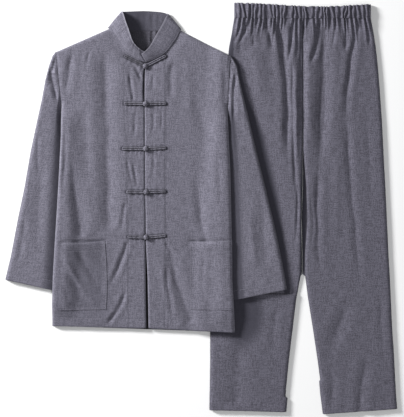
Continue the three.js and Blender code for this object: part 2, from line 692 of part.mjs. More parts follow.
// The waistband is a flattened ring of three rows, gathered in front and, less deeply, behind
const BAND_BULGE = 1.2; // how much thicker the elastic makes the middle of the band
const BAND_SIDE_HEIGHT = BAND_WALL + 1.2;
const BAND_ROWS = [0, 0.5, 1];
const [BAND_LOW, BAND_JOINT, BAND_HIGH] = [WAISTBAND[0].x, -0.2, WAISTBAND.at(-1).x];
function bandPlaces(samplesPerWave) {
  const count = (WAVES / 2) * samplesPerWave;
  const joint = (BAND_JOINT - BAND_LOW) / (BAND_HIGH - BAND_LOW);
  const half = Array.from({ length: count }, (_, i) => i / count);
  const places = half.map((t) => ({ waist: joint * t, gathers: t / 2 }));
  places.push(...half.map((t) => ({ waist: between(joint, 1, t), gathers: (1 + t) / 2 })));
  return [...places, { waist: 1, gathers: 1 }];
}
function waistband() {
  const ring = (share) => {
    const at = (waist, inset, height) => {
      const x = between(BAND_LOW + inset, BAND_HIGH - inset, waist);
      const lowerY = lookUp(WAISTBAND, "x", x, "lowerY");
      return new THREE.Vector3(x, between(lowerY, lookUp(WAISTBAND, "x", x, "upperY"), share), height);
    };
    const side = (waist) => ({
      outer: at(waist, 0, BAND_SIDE_HEIGHT),
      inner: at(waist, BAND_WALL, BAND_SIDE_HEIGHT),
    });
    const bulge = BAND_BULGE * bump(2 * share - 1);
    const point = ({ waist, gathers }, wallInside, isFront) => {
      const inset = EDGE_INSET + wallInside;
      const round = roundOff(Math.min(waist, 1 - waist) * (BAND_HIGH - BAND_LOW) + inset);
      const back = BACK_WAVE_HEIGHT * wave(gathers) * round;
      const lift = (AIR + bulge + WAVE_HEIGHT * wave(gathers)) * round;
      const front = back + 2 * BAND_WALL + SEAM_GAP + lift;
      return at(waist, inset, isFront ? front - wallInside : back + wallInside);
    };
    const both = (isFront) => (place) => ({
      outer: point(place, 0, isFront),
      inner: point(place, BAND_WALL, isFront),
    });
    const front = bandPlaces(3).map(both(true));
    const back = bandPlaces(2).toReversed().map(both(false));
    return [...front, side(1), ...back, side(0)];
  };
  return tube("waistband", CLOTH_FINISH, BAND_ROWS.map(ring));
}

// Assembly
const jacket = new THREE.Group();
const rightRows = frontRows("right", RIGHT_FRONT_FOLDS);
const leftRows = frontRows("left", LEFT_FRONT_FOLDS);
const rightFront = sheet("jacket_front_right", CLOTH_FINISH, rightRows);
const leftFront = sheet("jacket_front_left", CLOTH_FINISH, leftRows);
jacket.add(jacketBack(), rightFront, leftFront);
jacket.add(pocket("right", rightRows), pocket("left", leftRows));
jacket.add(sleeve("sleeve_right", RIGHT_SLEEVE, RIGHT_SLEEVE_FOLDS, 0));
jacket.add(sleeve("sleeve_left", LEFT_SLEEVE, LEFT_SLEEVE_FOLDS, TROUSER_RISE));
jacket.add(collar(), ...frogs(rightFront, leftFront));

const trousers = new THREE.Group();
trousers.position.set(TROUSERS_AT.x, TROUSERS_AT.y, 0);
trousers.add(legBack("trouser_back_right", RIGHT_LEG), legBack("trouser_back_left", LEFT_LEG));
trousers.add(legFront("trouser_front_right", RIGHT_LEG, RIGHT_LEG_FOLDS));
trousers.add(legFront("trouser_front_left", LEFT_LEG, LEFT_LEG_FOLDS));
trousers.add(waistband());

const suit = new THREE.Group();
suit.add(jacket, trousers);
const middle = new THREE.Box3().setFromObject(suit).getCenter(new THREE.Vector3());
suit.position.set(-middle.x, -middle.y, 0);

export default suit;
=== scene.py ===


# %% [markdown]
# # A tai chi uniform, laid flat
# The real suit is two garments in one slate grey cotton and linen cloth: a jacket with a standing
# collar and five knotted frogs, and wide trousers with an elastic waist. Both lie face up, and the
# jacket's left side lies on the trousers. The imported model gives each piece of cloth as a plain
# solid. This script sews the suit again over those solids, with finer folds, seams and stitches.

import math

import bpy
import numpy as np
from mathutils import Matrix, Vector
from mathutils.bvhtree import BVHTree


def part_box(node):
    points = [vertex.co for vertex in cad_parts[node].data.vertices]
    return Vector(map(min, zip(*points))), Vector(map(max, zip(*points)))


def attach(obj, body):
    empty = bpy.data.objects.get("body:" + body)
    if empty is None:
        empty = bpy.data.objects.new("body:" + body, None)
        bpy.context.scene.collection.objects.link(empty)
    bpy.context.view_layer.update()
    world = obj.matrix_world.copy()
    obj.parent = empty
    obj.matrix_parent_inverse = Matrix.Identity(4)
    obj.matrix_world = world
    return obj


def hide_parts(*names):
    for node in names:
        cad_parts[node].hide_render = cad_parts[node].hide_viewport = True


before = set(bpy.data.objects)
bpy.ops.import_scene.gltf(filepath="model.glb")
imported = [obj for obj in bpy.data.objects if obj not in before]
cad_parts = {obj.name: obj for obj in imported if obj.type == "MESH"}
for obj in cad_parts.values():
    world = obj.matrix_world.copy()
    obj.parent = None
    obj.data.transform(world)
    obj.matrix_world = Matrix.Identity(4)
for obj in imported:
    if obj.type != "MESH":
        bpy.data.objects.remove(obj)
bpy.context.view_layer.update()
MM = 0.001  # sizes below are in millimetres, and Blender's unit is the metre
SIDES = ("right", "left")  # the wearer's

# %% [markdown]
# ## Camera, light and floor
# The camera looks straight down through a long lens, so that the suit is seen as in a pattern
# drawing. A lamp stands low at the upper left: it lights the left flank of each fold and leaves
# the right one darker. Low light is what makes flat cloth look like cloth. A wide, weak lamp
# nearly overhead and the pale surroundings keep the shadows open.

# %% The camera
PHOTO_PIXELS = (404, 417)
MM_PER_PIXEL = 2.5
VIEW_MIDDLE = (2.0, 0.3, 6.0)
LENS, SENSOR = 100, 36

distance = max(PHOTO_PIXELS) * MM_PER_PIXEL * LENS / SENSOR
view_from = Vector(VIEW_MIDDLE) + Vector((0, 0, distance))
bpy.ops.object.camera_add(location=view_from * MM, rotation=(0, 0, 0))
camera = bpy.context.object
camera.data.lens = LENS
camera.data.sensor_width = SENSOR
bpy.context.scene.camera = camera
print("camera height in mm:", round(distance))

# %% The lamps and the pale surroundings
ROOM_COLOUR, ROOM_LIGHT = (0.95, 0.97, 1, 1), 0.2


def soft_lamp(name, azimuth, elevation, away, size, power):
    """A square lamp that faces the suit. Azimuth 0 is along +X and 90 along +Y."""
    turn, lift = math.radians(azimuth), math.radians(elevation)
    side = math.cos(lift)
    place = Vector((math.cos(turn) * side, math.sin(turn) * side, math.sin(lift))) * away
    aim = place.to_track_quat("Z", "Y").to_euler()
    bpy.ops.object.light_add(type="AREA", location=place, rotation=aim)
    lamp = bpy.context.object
    lamp.name = name
    lamp.data.size = size
    lamp.data.energy = power
    print(f"{name}: {power} W, {away} m away")


soft_lamp("low_window_lamp", azimuth=152, elevation=22, away=3.9, size=0.8, power=296)
soft_lamp("overhead_fill", azimuth=-50, elevation=76, away=3.0, size=2.4, power=30)
world = bpy.data.worlds.new("pale_room")
world.use_nodes = True
background = world.node_tree.nodes["Background"]
background.inputs["Color"].default_value = ROOM_COLOUR
background.inputs["Strength"].default_value = ROOM_LIGHT
bpy.context.scene.world = world
bpy.context.scene.view_settings.view_transform = "Standard"

# %% [markdown]
# ## Materials
# A material is a small network of nodes, added here from left to right. Colours are written as the
# hex values that a colour picker gives, and one function turns them to the linear values that
# Blender mixes with.


# %% Helpers for materials
def linear(hex_colour):
    """An sRGB hex colour as linear red, green, blue and alpha."""
    parts = [int(hex_colour[i : i + 2], 16) / 255 for i in (0, 2, 4)]
    return [p / 12.92 if p <= 0.04045 else ((p + 0.055) / 1.055) ** 2.4 for p in parts] + [1]


def add_node(tree, kind, links=None, **settings):
    """Adds a node, sets its options and sockets by name, and links its inputs."""
    node = tree.nodes.new(kind)
    for name, value in settings.items():
        if hasattr(node, name):
            setattr(node, name, value)
        else:
            node.inputs[name.replace("_", " ")].default_value = value
    for name, source in (links or {}).items():
        tree.links.new(source, node.inputs[name])
    return node


def new_material(name):
    """A material with its node tree and its shader, ready for more nodes."""
    material = bpy.data.materials.new(name)
    material.use_nodes = True
    tree = material.node_tree
    shader = tree.nodes["Principled BSDF"]
    return material, tree, shader


# %% The floor
FLOOR_WIDTH = 30.0
FLOOR_DROP = 0.0002  # so that the floor and the lowest cloth are not in one plane

# Uncoated white paper: quite matt, so that no lamp shines in it and the suit seems cut out
floor_finish, tree, shader = new_material("matt_white_paper")
shader.inputs["Base Color"].default_value = linear("F6F6F6")
shader.inputs["Roughness"].default_value = 0.95
shader.inputs["Specular IOR Level"].default_value = 0.1
bpy.ops.object.select_all(action="DESELECT")
bpy.ops.mesh.primitive_plane_add(size=FLOOR_WIDTH, location=(0, 0, -FLOOR_DROP))
floor = bpy.context.object
floor.name = "floor"
floor.data.materials.append(floor_finish)

# %% [markdown]
# ## The cloth
# The real cloth is cotton and linen in plain weave, dyed slate grey with a breath of violet. Linen
# yarn is uneven: thick places, the slubs, run as short pale and dark dashes along both thread
# directions and cross each other like fine hatching. The hairs on the yarn scatter light, so the
# cloth is matt with a little sheen. Noise that is stretched along one thread direction gives those
# dashes, and the piece's own UV map, which is in metres of cloth, keeps them at their real size.
#
# Two attributes come with each piece. "seam" tells how dark the cloth is beyond its own colour: on
# stitched lines, and as painted shade in the valleys of gathers, beside or under a piece that lies
# on it, inside the neck, along turned edges and in the cord's grooves. The second attribute tells
# how pale the cloth is: rubbed wear along turned edges, and painted highlight along the collar's
# edges.

# %% Cloth materials
THREAD_SPACING = 2.1  # the real threads lie 0.7 mm apart, drawn coarser so that they show
SLUB_LENGTH, SLUB_WIDTH = 22.0, 2.3  # real ones are 20 mm long and 1 mm wide
GRAIN = 2.6  # fibre flecks, in reality under 1 mm
FLECK_SHARE, SLUB_RELIEF = 0.42, 0.62  # flecks in the colour, slubs in the relief
RAMP_FROM, RAMP_TO = 0.43, 0.57  # the noise's range that runs from the dark to the pale yarn
BANDS = 3.2  # bands that the wave node draws over one unit at a scale of 1


def slub_noise(tree, cloth_map, across_scale, along_scale, detail):
    """Noise that is stretched into dashes along one direction of the cloth."""
    scale = (across_scale, along_scale, 1)
    stretch = add_node(tree, "ShaderNodeMapping", {"Vector": cloth_map}, Scale=scale)
    at = {"Vector": stretch.outputs["Vector"]}
    noise = add_node(tree, "ShaderNodeTexNoise", at, Scale=1.0, Detail=detail, Roughness=0.6)
    return noise.outputs["Fac"]


def woven_cloth(name, pale, dark, stitch_and_painted_shade, rubbed_and_highlight, bump_height):
    """Woven cloth: its yarns' two shades, its colour for stitched lines and painted shade, its
    colour for wear and painted highlight, and its relief.
    """
    material, tree, shader = new_material(name)
    cloth_map = add_node(tree, "ShaderNodeUVMap", uv_map="UVMap").outputs["UV"]
    fine, long, fleck = (1 / (size * MM) for size in (SLUB_WIDTH, SLUB_LENGTH, GRAIN))
    yarns = {
        "A": slub_noise(tree, cloth_map, fine, long, 2),
        "B": slub_noise(tree, cloth_map, long, fine, 2),
    }
    slubs = add_node(tree, "ShaderNodeMix", yarns, data_type="FLOAT", Factor=0.5).outputs["Result"]
    flecked = {"A": slubs, "B": slub_noise(tree, cloth_map, fleck, fleck, 1)}
    mottled = add_node(tree, "ShaderNodeMix", flecked, data_type="FLOAT", Factor=FLECK_SHARE)
    shades = add_node(tree, "ShaderNodeValToRGB", {"Fac": mottled.outputs["Result"]})
    for stop, at, shade in zip(shades.color_ramp.elements, (RAMP_FROM, RAMP_TO), (dark, pale)):
        stop.position, stop.color = at, linear(shade)
    colour = shades.outputs["Color"]
    # the "seam" attribute mixes in stitched lines and painted shade, the second one wear and
    # painted highlight
    for attribute, shade in (("seam", stitch_and_painted_shade), ("wear_and_highlight", rubbed_and_highlight)):
        amount = add_node(tree, "ShaderNodeAttribute", attribute_name=attribute).outputs["Fac"]
        links = {"Factor": amount, "A": colour}
        mixed = add_node(tree, "ShaderNodeMix", links, data_type="RGBA", B=linear(shade))
        colour = mixed.outputs["Result"]
    tree.links.new(colour, shader.inputs["Base Color"])
    threads = {}
    for socket, direction in (("A", "X"), ("B", "Y")):
        threads[socket] = add_node(
            tree, "ShaderNodeTexWave", {"Vector": cloth_map}, bands_direction=direction,
            Scale=1 / (THREAD_SPACING * MM) / BANDS, Distortion=1.6, Detail=1.0,
        ).outputs["Fac"]
    weave = add_node(tree, "ShaderNodeMix", threads, data_type="FLOAT").outputs["Result"]
    uneven = {"A": weave, "B": slubs}
    relief = add_node(tree, "ShaderNodeMix", uneven, data_type="FLOAT", Factor=SLUB_RELIEF)
    height = {"Height": relief.outputs["Result"]}
    raised = add_node(tree, "ShaderNodeBump", height, Strength=0.55, Distance=bump_height * MM)
    tree.links.new(raised.outputs["Normal"], shader.inputs["Normal"])
    shader.inputs["Roughness"].default_value = 0.92
    shader.inputs["Specular IOR Level"].default_value = 0.22
    shader.inputs["Sheen Weight"].default_value = 0.12
    shader.inputs["Sheen Roughness"].default_value = 0.55
    return material


# %% The cloths and the cord
# Cotton and linen, washed and matt: a soft grey whose pale and dark dashes cross each other. Its
# darkest colour is for stitched lines and painted shade, its palest for wear and painted highlight
slate_cloth = woven_cloth("slate_cotton_linen_cloth", "73717E", "53515C", "3A3943", "8A8894", 0.5)
# The same cloth inside the jacket, with a darker colour for its painted shade, which paints the
# gap between the fronts nearly black
slate_inner_painted_shade_cloth = woven_cloth(
    "slate_cotton_linen_cloth_inside_painted_shade", "73717E", "53515C", "16151A", "8A8894", 0.5
)
# The trousers' cloth, seen a shade darker than the jacket's and as matt: the same cloth with its
# colours painted darker, as painted shade
slate_trouser_painted_shade_cloth = woven_cloth(
    "slate_cotton_linen_trouser_cloth_painted_shade", "686673", "494751", "33323C", "686673", 0.5
)
# Strips of the jacket's cloth, cut on the bias and rolled: rougher, with painted shade in the
# grooves and on the undersides
slate_cord = woven_cloth("slate_rolled_bias_cord", "7A7884", "504E59", "34333C", "7A7884", 0.6)
for cloth in (slate_cloth, slate_inner_painted_shade_cloth, slate_trouser_painted_shade_cloth, slate_cord):
    print(cloth.name, "has", len(cloth.node_tree.nodes), "nodes")

# %% [markdown]
# ## Sizes of the suit
# These are the sizes that the solids were made from. A table has a row for each section of a
# piece, and its columns are the places of the piece's edges in millimetres, in the garment's own
# frame. The jacket's frame starts at the middle of its hem. The trousers' starts on the line of
# their centre seam, as low as their hems.

# %% Cloth and heights
CLOTH = 1.5  # one layer, as thick as in the solids
SEAM_GAP = 0.3
PRESSED_AIR = 3.0  # air between the two layers where something lies on them
AIR = 5.6  # and where nothing does
LEAST_AIR = 0.4  # even under the deepest trough
EDGE_ROUND = 11.0
LAID = 2 * CLOTH + SEAM_GAP + PRESSED_AIR
TROUSERS_FROM_JACKET = (395, -210)
TROUSER_RISE = LAID + 0.7
SLEEVE_RISE = LAID + 0.6


def table(columns, text):
    """Lines of numbers under named columns, as one array for each column."""
    rows = np.array([line.split() for line in text.strip().split("\n")]).astype(float)
    return dict(zip(columns.split(), rows.T))


# %% The jacket's sections
BODY = table("rightX rightY rightEdgeX rightEdgeY leftEdgeX leftEdgeY leftX leftY", """
-232 5 3.2 0 9 0 225 -11
-232 60 2.2 60 8 60 222 55
-230 130 1.5 128 6.5 128 218 125
-225 215 0.8 212 2.6 212 217 212
-219 310 0.3 310 1.1 310 215 315
-214 400 -0.6 395 0.2 395 213 400
-210 480 -1.1 470 -0.3 470 209 475
-209 560 -1.5 545 -0.7 545 206 556
-212.2 590 -4 588 -0.8 588 207.9 590
-215.5 620 -4 632 -0.4 632 209.5 618
-218.2 645 -2.5 661 1 661 210.7 640
-219.8 660 -27 676 27 676 211.4 652
-221 671 -52 692 52 692 212 662
-222 681 -71 719 71 716 212.5 671
-223 690 -88 749 87 745 213 680
""")
UNDERARM = 7
SLEEVES = {
    "right": table("outerX outerY innerX innerY", """
-223.9 691 -209.9 559
-232 680 -210.2 545
-241 655 -210.4 522
-250 620 -209 495
-258 575 -207 465
-270 520 -205 425
-286 445 -204 365
-302 352 -206 290
-320 265 -209 218
-336 180 -213 143
-350 121 -216 91
"""),
    "left": table("outerX outerY innerX innerY", """
213.9 681 206.9 555
222 670 207.7 540
230 655 208.6 520
236 622 207.5 495
244 587 206 465
258 530 205 425
279 440 205 360
301 352 206 285
324 255 208 205
343 165 209 130
355 97 210 68
"""),
}
COLLAR = table("seamX seamY seamZ topX topY topZ", """
3 664 8.2 1 690 9.0
-8 667 8.2 -8 694 9.6
-27 674.5 8.3 -22 705 12.0
-50 688.5 8.3 -31 719 15.0
-69 715.5 8.2 -39 742 16.5
-80 733 7.9 -46 762 16.5
-87 746 6.9 -52 781 14.5
-90 750.5 5.2 -55.5 789 10.5
-90.8 752 3.2 -56.5 791 6.0
-88 751.5 1.8 -54.5 791.5 2.4
-60 749.1 1.2 -38 792 1.4
0 747.7 1.2 0 793 1.4
60 746.3 1.2 38 790.5 1.4
86 747 1.8 54.5 786.5 2.4
89.5 747.5 3.2 57 785.5 6.0
89 746 5.2 56 783 10.5
86 741 7.0 52 776 14.5
77 723.5 7.9 40 752 16.5
66 708.5 8.2 27.5 731 16.5
52 690.5 8.3 16.5 711 15.5
37 680 8.6 8 698.5 14.4
17 670.5 9.6 -1 689.5 13.2
2 664.5 11.0 -9 684.5 12.8
""")
FROGS = table("knotX knotY rightX rightY leftX leftY", """
1 654 -50 679.5 52 680
1.2 560 -51 561 52 561
2 448 -56 448 52 450
3 340 -45 340 51 342
3 227 -42 228 51 231
""")

# %% The trousers' sections
LEGS = {
    "right": table("outerX outerY innerX innerY backX", """
-172 985 -0.2 983 -0.2
-175.5 964 -0.2 962 -0.2
-178 947 -0.2 945 -0.2
-185 912 -0.2 910 -0.2
-190 855 -0.2 855 -0.2
-193 790 -0.2 790 -0.2
-197 720 -0.2 720 -0.2
-202 655 -0.5 655 -0.2
-208 570 -3 565 -0.6
-215 480 -4 475 -4.1
-221 400 -4 400 -2
-226 345 -5 345 -2
-226.3 339 -6 339 -6
-229 280 -17 280 -17
-232 205 -26 205 -26
-232 130 -35 130 -35
-233 60 -42 60 -42
-233.5 38 -43.5 38 -43.5
-233.6 34 -38.5 34 -38.5
-234 5 -41.5 0 -41.5
"""),
    "left": table("outerX outerY innerX innerY backX", """
170 984 0.2 983 0.2
174 963 0.2 962 0.2
177 946 0.2 945 0.2
182 915 0.2 910 0.2
188 860 0.2 855 0.2
193 795 0.2 790 0.2
198 725 0.2 720 0.2
201 660 0.6 655 0.2
206 570 8 565 0.4
210 485 11 485 -3.1
214 395 5 395 -1
217 345 5 345 -1
217.3 339 6 339 6
220 285 13 285 13
223 215 25 210 25
228 140 37 130 37
231 80 43.5 80 43.5
231.3 76 41 76 41
233 45 43.5 45 43.5
236 8 50 -5 50
"""),
}
WAISTBAND = table("x lowerY upperY", """
-172 985.3 1022
-110 984.6 1020
-0.2 983.3 1013.5
60 983.7 1012.5
170 984.3 1018.5
""")
WAVES = 32
WAVE_HEIGHT, BACK_WAVE_HEIGHT, WAVE_DROP = 4.6, 1.2, 34
BAND_WALL = 2.2

# %% [markdown]
# ## Where the two garments lie
# The imported jacket back says where the jacket's own frame lies: its lowest corner is at known
# places of the jacket's tables. The trousers' frame lies at a fixed offset from the jacket's.

# %% The garments' frames
low_corner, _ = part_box("jacket_back")
JACKET_AT = (
    low_corner.x / MM - BODY["rightX"].min(),
    low_corner.y / MM - BODY["leftY"].min(),
)
TROUSERS_AT = tuple(a + b for a, b in zip(JACKET_AT, TROUSERS_FROM_JACKET))
print("jacket's frame at", [round(v, 1) for v in JACKET_AT])

# %% [markdown]
# ## Folds
# A fold is a row too: a curve through three points, with a width, a rise and the shares of its
# length over which it fades in and out. A negative rise is a trough. Next to each fold the cloth
# moves a little the other way, as it does on a table, because cloth can't stretch. The solids have
# the widest of these folds. The narrow ones are only here.

# %% The folds of the jacket
FOLD_COLUMNS = "x0 y0 x1 y1 x2 y2 width rise fadeIn fadeOut"
FRONT_FOLDS = {
    "right": table(FOLD_COLUMNS, """
-101 710 -95 480 -90 225 32 -3.3 0.15 0.1
-188 500 -179 370 -160 222 24 -2.8 0.6 0.05
-184 692 -189 634 -205 582 14 -1.8 0.2 0.3
-45 318 -55 278 -61 235 9 -1.4 0.2 0.4
-44 222 -56 178 -94 92 10 -2.2 0.1 0.4
-47 100 -60 62 -92 10 9 -2.0 0.3 0.1
-198 545 -200 420 -206 300 11 -1.1 0.3 0.3
-205 186 -176 132 -138 66 12 1.6 0.2 0.3
-172 196 -146 156 -112 96 18 -1.8 0.2 0.4
-205 120 -196 90 -188 60 14 -1.0 0.3 0.3
-137 696 -143 670 -146 640 7 -1.0 0.2 0.5
-150 600 -146 470 -140 330 16 -0.8 0.4 0.4
-33 663 -20 640 -6 612 7 -1.6 0.2 0.3
-43 640 -33 600 -26 562 7 -1.6 0.2 0.2
-22 545 -26 515 -24 470 7 -1.1 0.3 0.4
-28 420 -24 385 -18 350 7 -1.3 0.3 0.3
-45 430 -40 400 -30 360 6 -1.0 0.3 0.3
-205 520 -208 420 -213 330 7 0.8 0.3 0.3
"""),
    "left": table(FOLD_COLUMNS, """
72 668 66 622 63 570 12 -1.5 0.2 0.3
108 600 140 525 172 450 26 -1.1 0.4 0.4
198 670 201 590 199 500 12 -1.2 0.3 0.4
128 400 138 300 150 220 17 -2.3 0.6 0
62 196 82 110 118 12 23 -2.8 0.15 0.05
52 165 60 90 74 10 9 -1.4 0.2 0.3
52 212 60 200 72 180 8 -1.6 0.1 0.5
22 640 20 615 18 590 7 -1.0 0.3 0.3
18 545 20 515 17 480 7 -1.1 0.3 0.4
40 545 42 520 40 490 6 -0.9 0.3 0.4
16 440 20 410 16 372 7 -1.0 0.3 0.4
100 690 108 610 112 500 22 0.8 0.3 0.4
186 470 184 380 190 280 12 -1.0 0.4 0.4
150 200 146 130 152 60 12 -0.9 0.3 0.4
"""),
}
SLEEVE_FOLDS = {
    "right": table(FOLD_COLUMNS, """
-240 655 -228 607 -217 556 12 -2.8 0.2 0.3
-248 480 -262 330 -270 160 22 -0.9 0.3 0.3
-285 400 -300 300 -312 200 24 1.0 0.4 0.4
-226 676 -228 655 -236 632 7 -1.2 0.3 0.3
-262 500 -268 430 -262 360 9 -0.7 0.3 0.4
-300 300 -306 220 -322 150 11 -0.8 0.3 0.3
"""),
    "left": table(FOLD_COLUMNS, """
224 640 222 582 221 505 11 -2.2 0.2 0.3
290 340 296 240 304 140 26 -1.6 0.3 0.2
213 668 218 662 224 655 6 -1.4 0.2 0.3
216 648 224 644 232 642 6 -1.3 0.2 0.3
221 640 219 620 216 596 6 1.3 0.2 0.3
240 600 246 540 250 480 9 0.8 0.3 0.4
262 300 268 220 280 140 14 0.9 0.4 0.3
"""),
}

# %% The folds of the trousers
LEG_FOLDS = {
    "right": table(FOLD_COLUMNS, """
-70 980 -44 850 -40 620 16 -4.0 0.08 0.3
-27 980 -30 915 -40 862 9 -2.4 0.1 0.3
-16 975 -14 930 -13 880 7 -1.8 0.1 0.4
-97 978 -84 940 -76 898 11 -2.6 0.1 0.3
-134 978 -148 948 -164 912 9 -2.4 0.1 0.3
-124 975 -125 945 -122 905 9 -1.8 0.1 0.4
-152 970 -166 940 -176 915 8 -1.6 0.1 0.4
-118 930 -117 860 -112 760 30 1.4 0.4 0.4
-146 930 -158 900 -156 840 12 -1.8 0.3 0.4
-3 960 -3 850 -3 680 13 -3.0 0.1 0.2
-20 790 -17 700 -20 600 9 1.0 0.3 0.4
-26 890 -25 720 -19 520 7 -1.7 0.2 0.3
-19 600 -15 500 -24 385 6 -1.3 0.3 0.4
-162 195 -164 120 -168 10 40 -1.6 0.3 0.1
-60 300 -72 220 -70 120 18 -0.9 0.4 0.4
"""),
    "left": table(FOLD_COLUMNS, """
41 980 32 917 17 862 11 -2.6 0.1 0.3
50 980 50 800 38 560 27 -4.2 0.08 0.4
40 640 37 480 43 330 14 -2.0 0.3 0.4
104 980 106 940 107 890 10 -2.4 0.1 0.4
138 980 116 850 108 720 14 -2.5 0.1 0.3
108 790 118 590 146 290 15 -1.7 0.3 0.4
156 978 163 945 166 905 8 -1.6 0.1 0.4
78 975 77 935 72 890 8 -1.4 0.1 0.5
3 940 3 840 4 690 11 -2.2 0.2 0.2
20 560 24 480 20 390 7 -0.8 0.3 0.4
84 700 86 560 82 400 24 1.0 0.4 0.4
160 760 166 640 170 500 16 -0.8 0.4 0.4
112 305 96 225 58 140 28 -1.9 0.4 0.3
162 150 150 80 142 5 20 -1.8 0.4 0
66 130 74 70 70 10 18 -1.2 0.4 0.1
190 330 196 220 200 110 14 -0.8 0.4 0.4
"""),
}
print("fold tables:", len(FRONT_FOLDS), len(SLEEVE_FOLDS), len(LEG_FOLDS))


# %% Small curves and look-ups
def smooth(value):
    """Eases from 0 to 1 while the value goes from 0 to 1."""
    t = np.clip(value, 0, 1)
    return t * t * (3 - 2 * t)


def round_off(away, width=EDGE_ROUND):
    """A quarter round: 0 at an edge and 1 from the width inwards."""
    return np.sqrt(1 - (1 - np.clip(away / width, 0, 1)) ** 2)


def bump(q):
    """1 in the middle, 0 from -1 and 1 outwards."""
    return 0.5 + 0.5 * np.cos(np.pi * np.clip(q, -1, 1))


def shaded(away, full, fade):
    """Painted shade: 1 up to a distance from a piece that lies on the cloth, then fading to 0."""
    return 1 - smooth((away - full) / fade)


def along(rows, column, u):
    """A table's value at place u along its rows, which may lie between two."""
    return np.interp(u, np.arange(len(rows[column])), rows[column])


def look_up(rows, known, value, wanted):
    """A table's value in one column, where another column has a known value."""
    order = np.argsort(rows[known])
    return np.interp(value, rows[known][order], rows[wanted][order])


def length_along(path):
    """How far each point of a path is from its start."""
    return np.concatenate([[0], np.cumsum(np.hypot(*np.diff(path, axis=0).T))])


def nearest_on(path, x, y):
    """Distance from a path of points, and the share of the path's length at the nearest place."""
    lengths, before = np.hypot(*np.diff(path, axis=0).T), length_along(path)
    best = np.full(x.shape, np.inf)
    share = np.zeros(x.shape)
    for (ax, ay), (bx, by), run, start in zip(path[:-1], path[1:], lengths, before):
        t = np.clip(((x - ax) * (bx - ax) + (y - ay) * (by - ay)) / run**2, 0, 1)
        away = np.hypot(x - ax - t * (bx - ax), y - ay - t * (by - ay))
        nearer = away < best
        best = np.where(nearer, away, best)
        share = np.where(nearer, (start + t * run) / before[-1], share)
    return best, share


# %% Folds and ripples
FOLD_STEPS = 12
FOLD_REACH = 2.2  # in widths: further out, a fold adds nothing
FOLD_DEPTH = 1.35  # the cloth's folds are deeper than the solids' ones
CREASE_SHARE, CREASE_WIDTH = 0.38, 0.42  # a narrow crease along the middle of each soft fold
FLANK, FLANK_AT = 0.3, 1.15  # the cloth beside a fold moves the other way
WAVER, WAVER_TURNS = 0.18, 1.6
RIPPLE_WAVES, RIPPLE_SCALE = 9, 5  # nine waves rarely add up to more than five


def fold_height(folds, x, y):
    """What the folds of a table add to the cloth's height. Each one's depth wavers a little."""
    height = np.zeros(x.shape)
    t = np.linspace(0, 1, FOLD_STEPS + 1)[:, None]
    for k, fold in enumerate(zip(*folds.values())):
        start, through, end = np.reshape(fold[:6], (3, 2))
        width, rise, fade_in, fade_out = fold[6:]
        via = 2 * through - (start + end) / 2
        path = (1 - t) ** 2 * start + 2 * t * (1 - t) * via + t**2 * end
        (low_x, low_y), (high_x, high_y) = (
            path.min(axis=0) - FOLD_REACH * width, path.max(axis=0) + FOLD_REACH * width
        )
        near = (x > low_x) & (x < high_x) & (y > low_y) & (y < high_y)
        away, share = nearest_on(path, x[near], y[near])
        creased = (1 - CREASE_SHARE) * bump(away / width)
        creased += CREASE_SHARE * bump(away / (CREASE_WIDTH * width))
        profile = creased - FLANK * bump((away - FLANK_AT * width) / width)
        for from_end, fade in ((share, fade_in), (1 - share, fade_out)):
            profile = profile * smooth(from_end / fade) if fade else profile
        waver = 1 + WAVER * np.sin(2 * np.pi * (WAVER_TURNS * share + 0.37 * k))
        height[near] += FOLD_DEPTH * rise * profile * waver
    return height


def ripples(x, y, size, seed):
    """Soft unevenness with waves about that size, between about -1 and 1."""
    random = np.random.default_rng(seed)
    total = np.zeros(np.shape(x))
    for _ in range(RIPPLE_WAVES):
        turn, phase = random.uniform(0, 2 * np.pi, 2)
        wave = size * random.uniform(0.6, 1.6)
        total += np.sin((x * np.cos(turn) + y * np.sin(turn)) * 2 * np.pi / wave + phase)
    return total / RIPPLE_SCALE


def softness(x, y, waves):
    """Ripples on ripples, each with a height, a stretch along the cloth, a size and a seed."""
    return sum(high * ripples(x, y / stretch, size, seed) for high, stretch, size, seed in waves)


# %% Stitched lines
EDGE_SHADE, EDGE_LINE = 0.7, 3.2  # painted shade along a hem's turned edge, and its width
SEAM_HALF = 2.6  # half the width over which a stitched line draws the cloth down
PUCKER_REACH, PUCKER_LENGTH = 7.0, 9.5
ARM_SINKS, ARM_REACH = 0.32, 8.0  # share of the height that an armhole's seam takes away


def seam_mark(lines, x, y, half=SEAM_HALF):
    """1 on a stitched line and 0 beside it."""
    mark = np.zeros(np.shape(x))
    for line in lines:
        away, _ = nearest_on(np.array(line, float), x, y)
        mark = np.maximum(mark, bump(away / half))
    return mark


def puckers(lines, x, y, height=0.28):
    """The short ripples that sewing leaves across a stitched line."""
    total = np.zeros(np.shape(x))
    for k, line in enumerate(lines):
        path = np.array(line, float)
        away, share = nearest_on(path, x, y)
        run = share * np.hypot(*np.diff(path, axis=0).T).sum()
        uneven = 2.2 * np.sin(run / 31.0 + k) + 1.3 * np.sin(run / 12.7 + 2 * k)
        wave = np.cos(2 * np.pi * run / PUCKER_LENGTH + uneven)
        total += height * wave * bump(away / PUCKER_REACH)
    return total


# %% [markdown]
# ## Laying cloth
# Every panel starts as Blender's grid, one vertex for each point of the cloth. Its points are put
# in place by the tables and the height functions, and Solidify then gives it a wall. The UV map is
# the flat cloth in metres, so the weave keeps its size and runs with the grain.

# %% A grid of cloth
WALL, POCKET_WALL, BACK_WALL = 1.2, 1.0, 1.4
SMOOTH_UNDER = math.radians(50)


